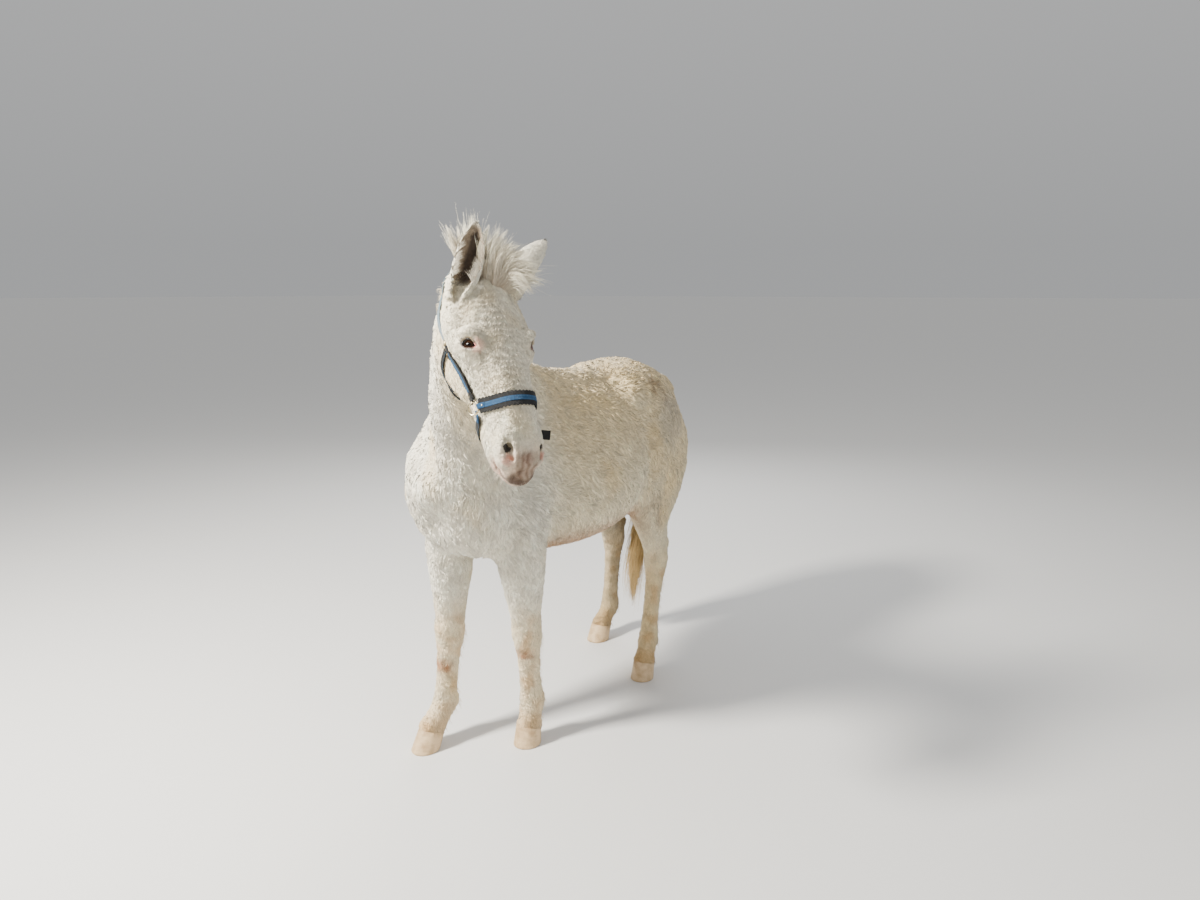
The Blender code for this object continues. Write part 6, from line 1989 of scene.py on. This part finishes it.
def finish_of(
    name, group, bump=0.0, colour=None, roughness=None, metallic=0.0, sheen=0.0, shine=0.5, **given
):
    """A material whose colour, roughness and bump come from a group, over one colour or the mesh's own."""
    made = bpy.data.materials.new(name)
    made.use_nodes = True
    tree = made.node_tree
    shader = tree.nodes["Principled BSDF"].inputs
    for label, value in (("Metallic", metallic), ("Specular IOR Level", shine), ("Sheen Weight", sheen)):
        shader[label].default_value = value
    placed = tree.nodes.new("ShaderNodeGroup")
    placed.node_tree = group
    if colour is None:
        carried = joined_nodes(tree, "ShaderNodeAttribute", {"attribute_name": "Markings"})
        tree.links.new(carried.outputs["Color"], placed.inputs["Colour"])
    else:
        placed.inputs["Colour"].default_value = (*colour, 1)
    for label, value in given.items():
        placed.inputs[label.replace("_", " ")].default_value = value
    tree.links.new(placed.outputs["Colour"], shader["Base Color"])
    if roughness is None:
        tree.links.new(placed.outputs["Roughness"], shader["Roughness"])
    else:
        shader["Roughness"].default_value = roughness
    if bump:
        height = placed.outputs["Height"]
        raised = joined_nodes(tree, "ShaderNodeBump", Strength=bump, Distance=0.001, Height=height)
        tree.links.new(raised.outputs[0], shader["Normal"])
    return made


def stitch_tree():
    """Thread stitches at even steps along the edges of a mesh."""
    tree = bpy.data.node_groups.new("webbing_stitches", "GeometryNodeTree")
    sizes = [(label, "Float") for label in ("Spacing", "Length", "Thickness")]
    for label, kind in [("Lines", "Geometry"), *sizes, ("Thread", "Material")]:
        tree.interface.new_socket(label, in_out="INPUT", socket_type=f"NodeSocket{kind}")
    tree.interface.new_socket("Stitches", in_out="OUTPUT", socket_type="NodeSocketGeometry")
    given, gives = tree.nodes.new("NodeGroupInput").outputs, tree.nodes.new("NodeGroupOutput")

    def add(kind, settings=None, **inputs):
        """The first output of a new node."""
        return joined_nodes(tree, kind, settings, **inputs).outputs[0]

    curve = add("GeometryNodeMeshToCurve", Mesh=given["Lines"])
    even = add("GeometryNodeResampleCurve", {"mode": "LENGTH"}, Curve=curve, Length=given["Spacing"])
    tangent = add("GeometryNodeInputTangent")
    turned = add("FunctionNodeAlignRotationToVector", {"axis": "Z"}, Vector=tangent)
    thread = add("GeometryNodeMeshUVSphere", Segments=6, Rings=4, Radius=1.0)
    half = add("ShaderNodeMath", {"operation": "MULTIPLY"}, i0=given["Length"], i1=0.5)
    size = add("ShaderNodeCombineXYZ", X=given["Thickness"], Y=given["Thickness"], Z=half)
    copies = add("GeometryNodeInstanceOnPoints", Points=even, Instance=thread, Rotation=turned, Scale=size)
    real = add("GeometryNodeRealizeInstances", Geometry=copies)
    done = add("GeometryNodeSetMaterial", Geometry=real, Material=given["Thread"])
    tree.links.new(done, gives.inputs["Stitches"])
    return tree


def stitched(name, lines, **inputs):
    """Stitches along lines, as a plain mesh."""
    mesh = bpy.data.meshes.new(name)
    points, edges = [], []
    for line in lines:
        edges += [(len(points) + i, len(points) + i + 1) for i in range(len(line) - 1)]
        points += [tuple(map(float, point)) for point in line]
    mesh.from_pydata(points, edges, [])
    obj = linked(name, mesh)
    modifier = obj.modifiers.new("Stitches", "NODES")
    modifier.node_group = stitch_tree()
    for item in modifier.node_group.interface.items_tree:
        if item.in_out == "INPUT" and item.name in inputs:
            modifier[item.identifier] = inputs[item.name]
    return made_plain(obj)


def webbing_look(name, rgb, roughness, fading, threads=60.0, sheen=0.0):
    """Woven nylon of one colour."""
    return finish_of(
        name, weave, bump=0.6, colour=linear(*rgb), roughness=roughness, sheen=sheen,
        Threads=threads, Fading=fading,
    )


def worn_look(name, rgb, worn, scale, smoothness, **looks):
    """Horn, thread or metal with scuffs of a second colour."""
    return finish_of(
        name, scuffs, colour=linear(*rgb), Worn_colour=(*linear(*worn), 1), Scale=scale,
        Smoothness=smoothness, **looks,
    )


dock = [station(at(f, l, u), r, r) for f, l, u, r in DOCK]
limbs = flesh() + [Limb(dock, 0.04, rise=towards(-1, 0, 0.2))]
hair_tone, weave, scuffs = hair_tone_group(), weave_group(), wear_group()
skin_look = finish_of("mule_skin", hair_tone, bump=0.25, Scale=420.0, Soiling=0.10)
coat_look = finish_of("mule_coat", hair_tone, sheen=0.15, Scale=220.0, Soiling=0.16)
hair_look = finish_of("mule_long_hair", hair_tone, sheen=0.15, Scale=160.0, Soiling=0.12)
fine_look = finish_of("mule_fine_hair", hair_tone, Scale=160.0, Soiling=0.0)
horn_look = worn_look("hoof_horn", (212, 184, 144), (176, 146, 108), 28.0, 0.5, bump=0.6)
eye_look = finish_of("eye_dark", hair_tone, roughness=0.10, shine=0.12, Scale=500.0, Soiling=0.0)
lid_look = finish_of("lid_rim", hair_tone, roughness=0.35, Scale=700.0, Soiling=0.0)
black_look = webbing_look("halter_black", (9, 10, 13), 0.8, 0.04, threads=70.0)
blue_look = webbing_look("halter_blue", (6, 76, 122), 0.7, 0.07)
# The crown strap's pale grey-blue is painted sheen, the light along its webbing, with worn patches of fading
# over it
sheen_pale_look = webbing_look("halter_sheen_and_fading", (112, 138, 152), 0.6, 0.5, sheen=0.2)
thread_look = worn_look("halter_thread", (92, 140, 168), (60, 96, 120), 200.0, 0.6)
metal_look = worn_look("halter_brass", (236, 222, 184), (150, 130, 92), 160.0, 0.20, bump=0.15, metallic=1.0)

skin = shown(
    skin_mesh(limbs), "skin", skin_look, "body_coat",
    "head", "neck", "torso", "ear_left", "ear_right", *(f"leg_{name}" for name in HOOVES),
)
paint(skin.data, markings(points_of(skin.data), normals_of(skin.data)))
coat(skin.data, coat_look)
fine_hairs(skin.data, fine_look)

chance = random.Random(7)
locks = {"tail": tail_locks(chance), "mane": mane(limbs, chance), "forelock": forelock(limbs, chance)}
loose = np.random.default_rng(5)
# Long hair: how many hairs a lock has, their radius, the colours of root and tip, the node, how they stray
for name, each, radius, root, tip, nodes, looks in (
    ("tail", 130, 0.0015, (160, 126, 74), (216, 184, 122), ["tail"], {}),
    ("mane", 80, 0.0011, (214, 196, 160), (246, 236, 212), [], {"splay": 0.4, "stray": 0.06}),
    ("forelock", 110, 0.0011, (190, 172, 150), (254, 247, 226), [], {"splay": 0.15, "stray": 0.08}),
):
    colours = linear(*root), linear(*tip)
    long_hair(f"{name}_hair", locks[name], each, radius, loose, hair_look, *colours, *nodes, **looks)

for name in HOOVES:
    shown(hoof_mesh(name), f"horn_{name}", horn_look, "hoof_horn", f"hoof_{name}")
for name, side in SIDES:
    shown(eye_mesh(side), f"eyeball_{name}", eye_look, "eye_surface", f"eye_{name}")
    shown(lid_mesh(side, limbs), f"lid_rim_{name}", lid_look, "face_coat")

# The halter: each strap's bands as left edge, right edge, bottom, top in shares of its width and thickness
PADDING = ("padding", black_look, -0.50, 0.50, 0.0, 0.62)
BANDS = {
    "noseband": [PADDING, ("webbing", blue_look, -0.17, 0.2, 0.62, 0.9)],
    "cheek": [PADDING, ("webbing", blue_look, -0.24, 0.34, 0.62, 0.9)],
    "chin_strap": [("webbing", black_look, -0.5, 0.5, 0.0, 1.0)],
    "crown_strap": [("webbing", sheen_pale_look, -0.5, 0.5, 0.0, 1.0)],
    "throat_strap": [("webbing", black_look, -0.5, 0.5, 0.0, 1.0)],
}
# Fleece and worn edges make some straps fuller than their core, and hair half covers the throat's
FULLER = {"cheek": 1.30, "crown_strap": 1.45}
THROAT_SUNK = 0.0042
# Fleece: how far its scallops stand out at the edges, and how far it swells in the middle
FLEECE = {"scallop": 0.0034, "swell": 0.0010}
# A seam: how far in from its band's edge, as a share of the strap's width, and how far it stands out
SEAM_IN = 0.07
SEAM_OUT = 0.0002
# A folded end: its places along the strap from behind the ring, and how far it and its rivet stand out
TAB_RUN = np.linspace(-0.004, 0.022, 8)
TAB_OUT = 0.0014
RIVET_OUT = 0.0019
RIVET_RADIUS = 0.0026
# The look of the folded ends, and half their width as a share of the strap's
TAB_LOOKS = {"noseband": (blue_look, 0.20), "chin_strap": (blue_look, 0.52), "cheek": (black_look, 0.44)}


def strap_bands(name, kind, path, sides, tops, width, thickness):
    """The bands of one strap; gives the lines of their seams."""
    seams = []
    for layer, look, left, right, low, high in BANDS[kind]:
        label = f"{layer}_{name}"
        fleece = FLEECE if layer == "padding" else {}
        edges = left * width, right * width, low * thickness, high * thickness
        nodes = [f"halter_{name}"] if layer == BANDS[kind][0][0] else []
        shown(band_mesh(path, sides, tops, *edges, label, **fleece), label, look, "halter_webbing", *nodes)
        if not fleece:
            for seam in (left + SEAM_IN, right - SEAM_IN):
                seams.append(path + seam * width * sides + (high * thickness + SEAM_OUT) * tops)
    return seams


def strap_tab(tag, place, way, side, top, look, half, thickness):
    """The end of a strap, folded round its ring and riveted."""
    run = np.array([place + t * way for t in TAB_RUN])
    across, up = (np.tile(row, (len(run), 1)) for row in (side, top))
    heights = 0.25 * thickness, thickness + TAB_OUT
    shown(band_mesh(run, across, up, -half, half, *heights, tag, swell=0.0006), tag, look, "halter_webbing")
    rivet = dome_mesh(run[5] + (thickness + RIVET_OUT) * top, top, RIVET_RADIUS, f"rivet_{tag}")
    shown(rivet, f"rivet_{tag}", metal_look, "halter_metal")


seams = []
for name, (path, width, thickness) in halter_straps(limbs).items():
    kind = "cheek" if name.startswith("cheek") else name
    sides, tops = section_of(path, limbs)
    width = width * FULLER.get(kind, 1.0)
    if kind == "throat_strap":
        share = np.linspace(0, 1, len(path))
        path = path - (THROAT_SUNK * ease(share, 0.12, 0.22) * (1 - ease(share, 0.78, 0.88)))[:, None] * tops
    seams += strap_bands(name, kind, path, sides, tops, width, thickness)
    if kind in TAB_LOOKS:
        look, half = TAB_LOOKS[kind]
        for tag, end, back in ((f"tab_{name}_start", 0, 1), (f"tab_{name}_end", -1, -1)):
            way = unit(path[end + back * 3] - path[end])
            strap_tab(tag, path[end], way, sides[end], tops[end], look, half * width, thickness)
# A loose strap end stands out past the left side of the muzzle
END_TAB = [(0.405, -0.170, 0.052), (0.420, -0.150, 0.072), (0.432, -0.130, 0.092), (0.440, -0.112, 0.108)]
loose_end = through([on_head(*place) for place in END_TAB], 6)
sides, tops = section_of(loose_end, limbs)
strip = band_mesh(loose_end, sides, tops, -0.008, 0.008, 0.0, 0.0030, "loose_end_strip")
shown(strip, "loose_end_strip", black_look, "halter_webbing")
END_WAY, END_FACE = unit(towards(-0.566, 0.825, -0.10)), unit(towards(0.825, 0.566, 0.05))
run = np.array([on_head(0.440, -0.110, 0.115) + t * END_WAY for t in np.linspace(-0.012, 0.014, 8)])
across, up = (np.tile(way, (8, 1)) for way in (unit(np.cross(END_WAY, END_FACE)), END_FACE))
end_piece = band_mesh(run, across, up, -0.0135, 0.0135, -0.003, 0.003, "loose_end_left", swell=0.0008)
shown(end_piece, "loose_end_left", black_look, "halter_webbing")
stitches = stitched(
    "stitches_webbing", seams, Spacing=0.0045, Length=0.0028, Thickness=0.00038, Thread=thread_look
)
shown(stitches, "stitches_webbing", thread_look, "halter_webbing")
for name, (centre, normal, major) in halter_rings(limbs).items():
    # The large rings stand off the coat and lean to the front
    if major == RING_MAJOR:
        centre, normal = centre + 0.005 * normal, unit(normal + 0.75 * OUT)
    ring = torus_mesh(centre, normal, major, RING_MINOR, f"metal_{name}")
    shown(ring, f"metal_{name}", metal_look, "halter_metal", f"halter_{name}")


# The sky's colour where it meets the floor, and overhead, and its strength
HORIZON = (0.66, 0.67, 0.68)
ZENITH = (0.96, 0.96, 0.96)
SKY_STRENGTH = 0.62
FLOOR = (0.74, 0.74, 0.73)
FLOOR_SIZE = 400
# Lights: place, size, power and colour, and where they all aim
LIGHTS = {
    "key": ((3.2, -1.4, 3.6), 0.7, 640, (1.0, 0.95, 0.86)),
    "fill": ((1.2, 4.5, 2.4), 3.0, 40, (1.0, 1.0, 1.0)),
    "rim": ((-3.5, -2.0, 3.5), 2.5, 110, (1.0, 1.0, 1.0)),
}
LIT = (0.2, 0.1, 0.9)
# The photo's view: where its camera stands, which way it faces, and its lens, 880 of the photo's 1200
# pixels long.  It tilts down as far as the horizon lies over the photo's middle, 160 pixels
CAMERA = (2.628, 2.012, 1.6)
CAMERA_WAY = towards(-0.825, -0.566, 0)
CAMERA_TILT = math.atan(160 / 880)
LENS = 26.4
SENSOR_WIDTH = 36


def aimed(name, data, place, way):
    """A light or camera at a place, looking one way."""
    obj = linked(name, data)
    obj.location = place
    obj.rotation_mode = "QUATERNION"
    obj.rotation_quaternion = Vector(way).to_track_quat("-Z", "Y")
    return obj


def stage():
    """Floor, light and the photo's view."""
    bpy.ops.mesh.primitive_plane_add(size=FLOOR_SIZE)
    floor = bpy.context.object
    floor.name = "studio_floor"
    pale = bpy.data.materials.new("studio_floor")
    pale.use_nodes = True
    shader = pale.node_tree.nodes["Principled BSDF"].inputs
    shader["Base Color"].default_value = (*FLOOR, 1)
    shader["Roughness"].default_value = 0.95
    floor.data.materials.append(pale)
    world = bpy.data.worlds.new("studio")
    bpy.context.scene.world = world
    world.use_nodes = True
    tree = world.node_tree
    ray = joined_nodes(tree, "ShaderNodeTexCoord").outputs["Generated"]
    height = joined_nodes(tree, "ShaderNodeSeparateXYZ", Vector=ray).outputs["Z"]
    share = joined_nodes(tree, "ShaderNodeMapRange", Value=height, i1=0.05, i2=0.55, i3=0.0, i4=1.0)
    sky = joined_nodes(
        tree, "ShaderNodeMixRGB", Fac=share.outputs[0], Color1=(*HORIZON, 1), Color2=(*ZENITH, 1)
    )
    backdrop = tree.nodes["Background"].inputs
    tree.links.new(sky.outputs[0], backdrop["Color"])
    backdrop["Strength"].default_value = SKY_STRENGTH
    for name, (place, size, power, colour) in LIGHTS.items():
        light = bpy.data.lights.new(name, "AREA")
        light.size, light.energy, light.color = size, power, colour
        aimed(name, light, at(*place), Vector(at(*LIT)) - Vector(at(*place)))
    camera = bpy.data.cameras.new("camera")
    camera.sensor_width = SENSOR_WIDTH
    camera.lens = LENS
    look = math.cos(CAMERA_TILT) * CAMERA_WAY - math.sin(CAMERA_TILT) * UP
    bpy.context.scene.camera = aimed("camera", camera, at(*CAMERA), look)


stage()
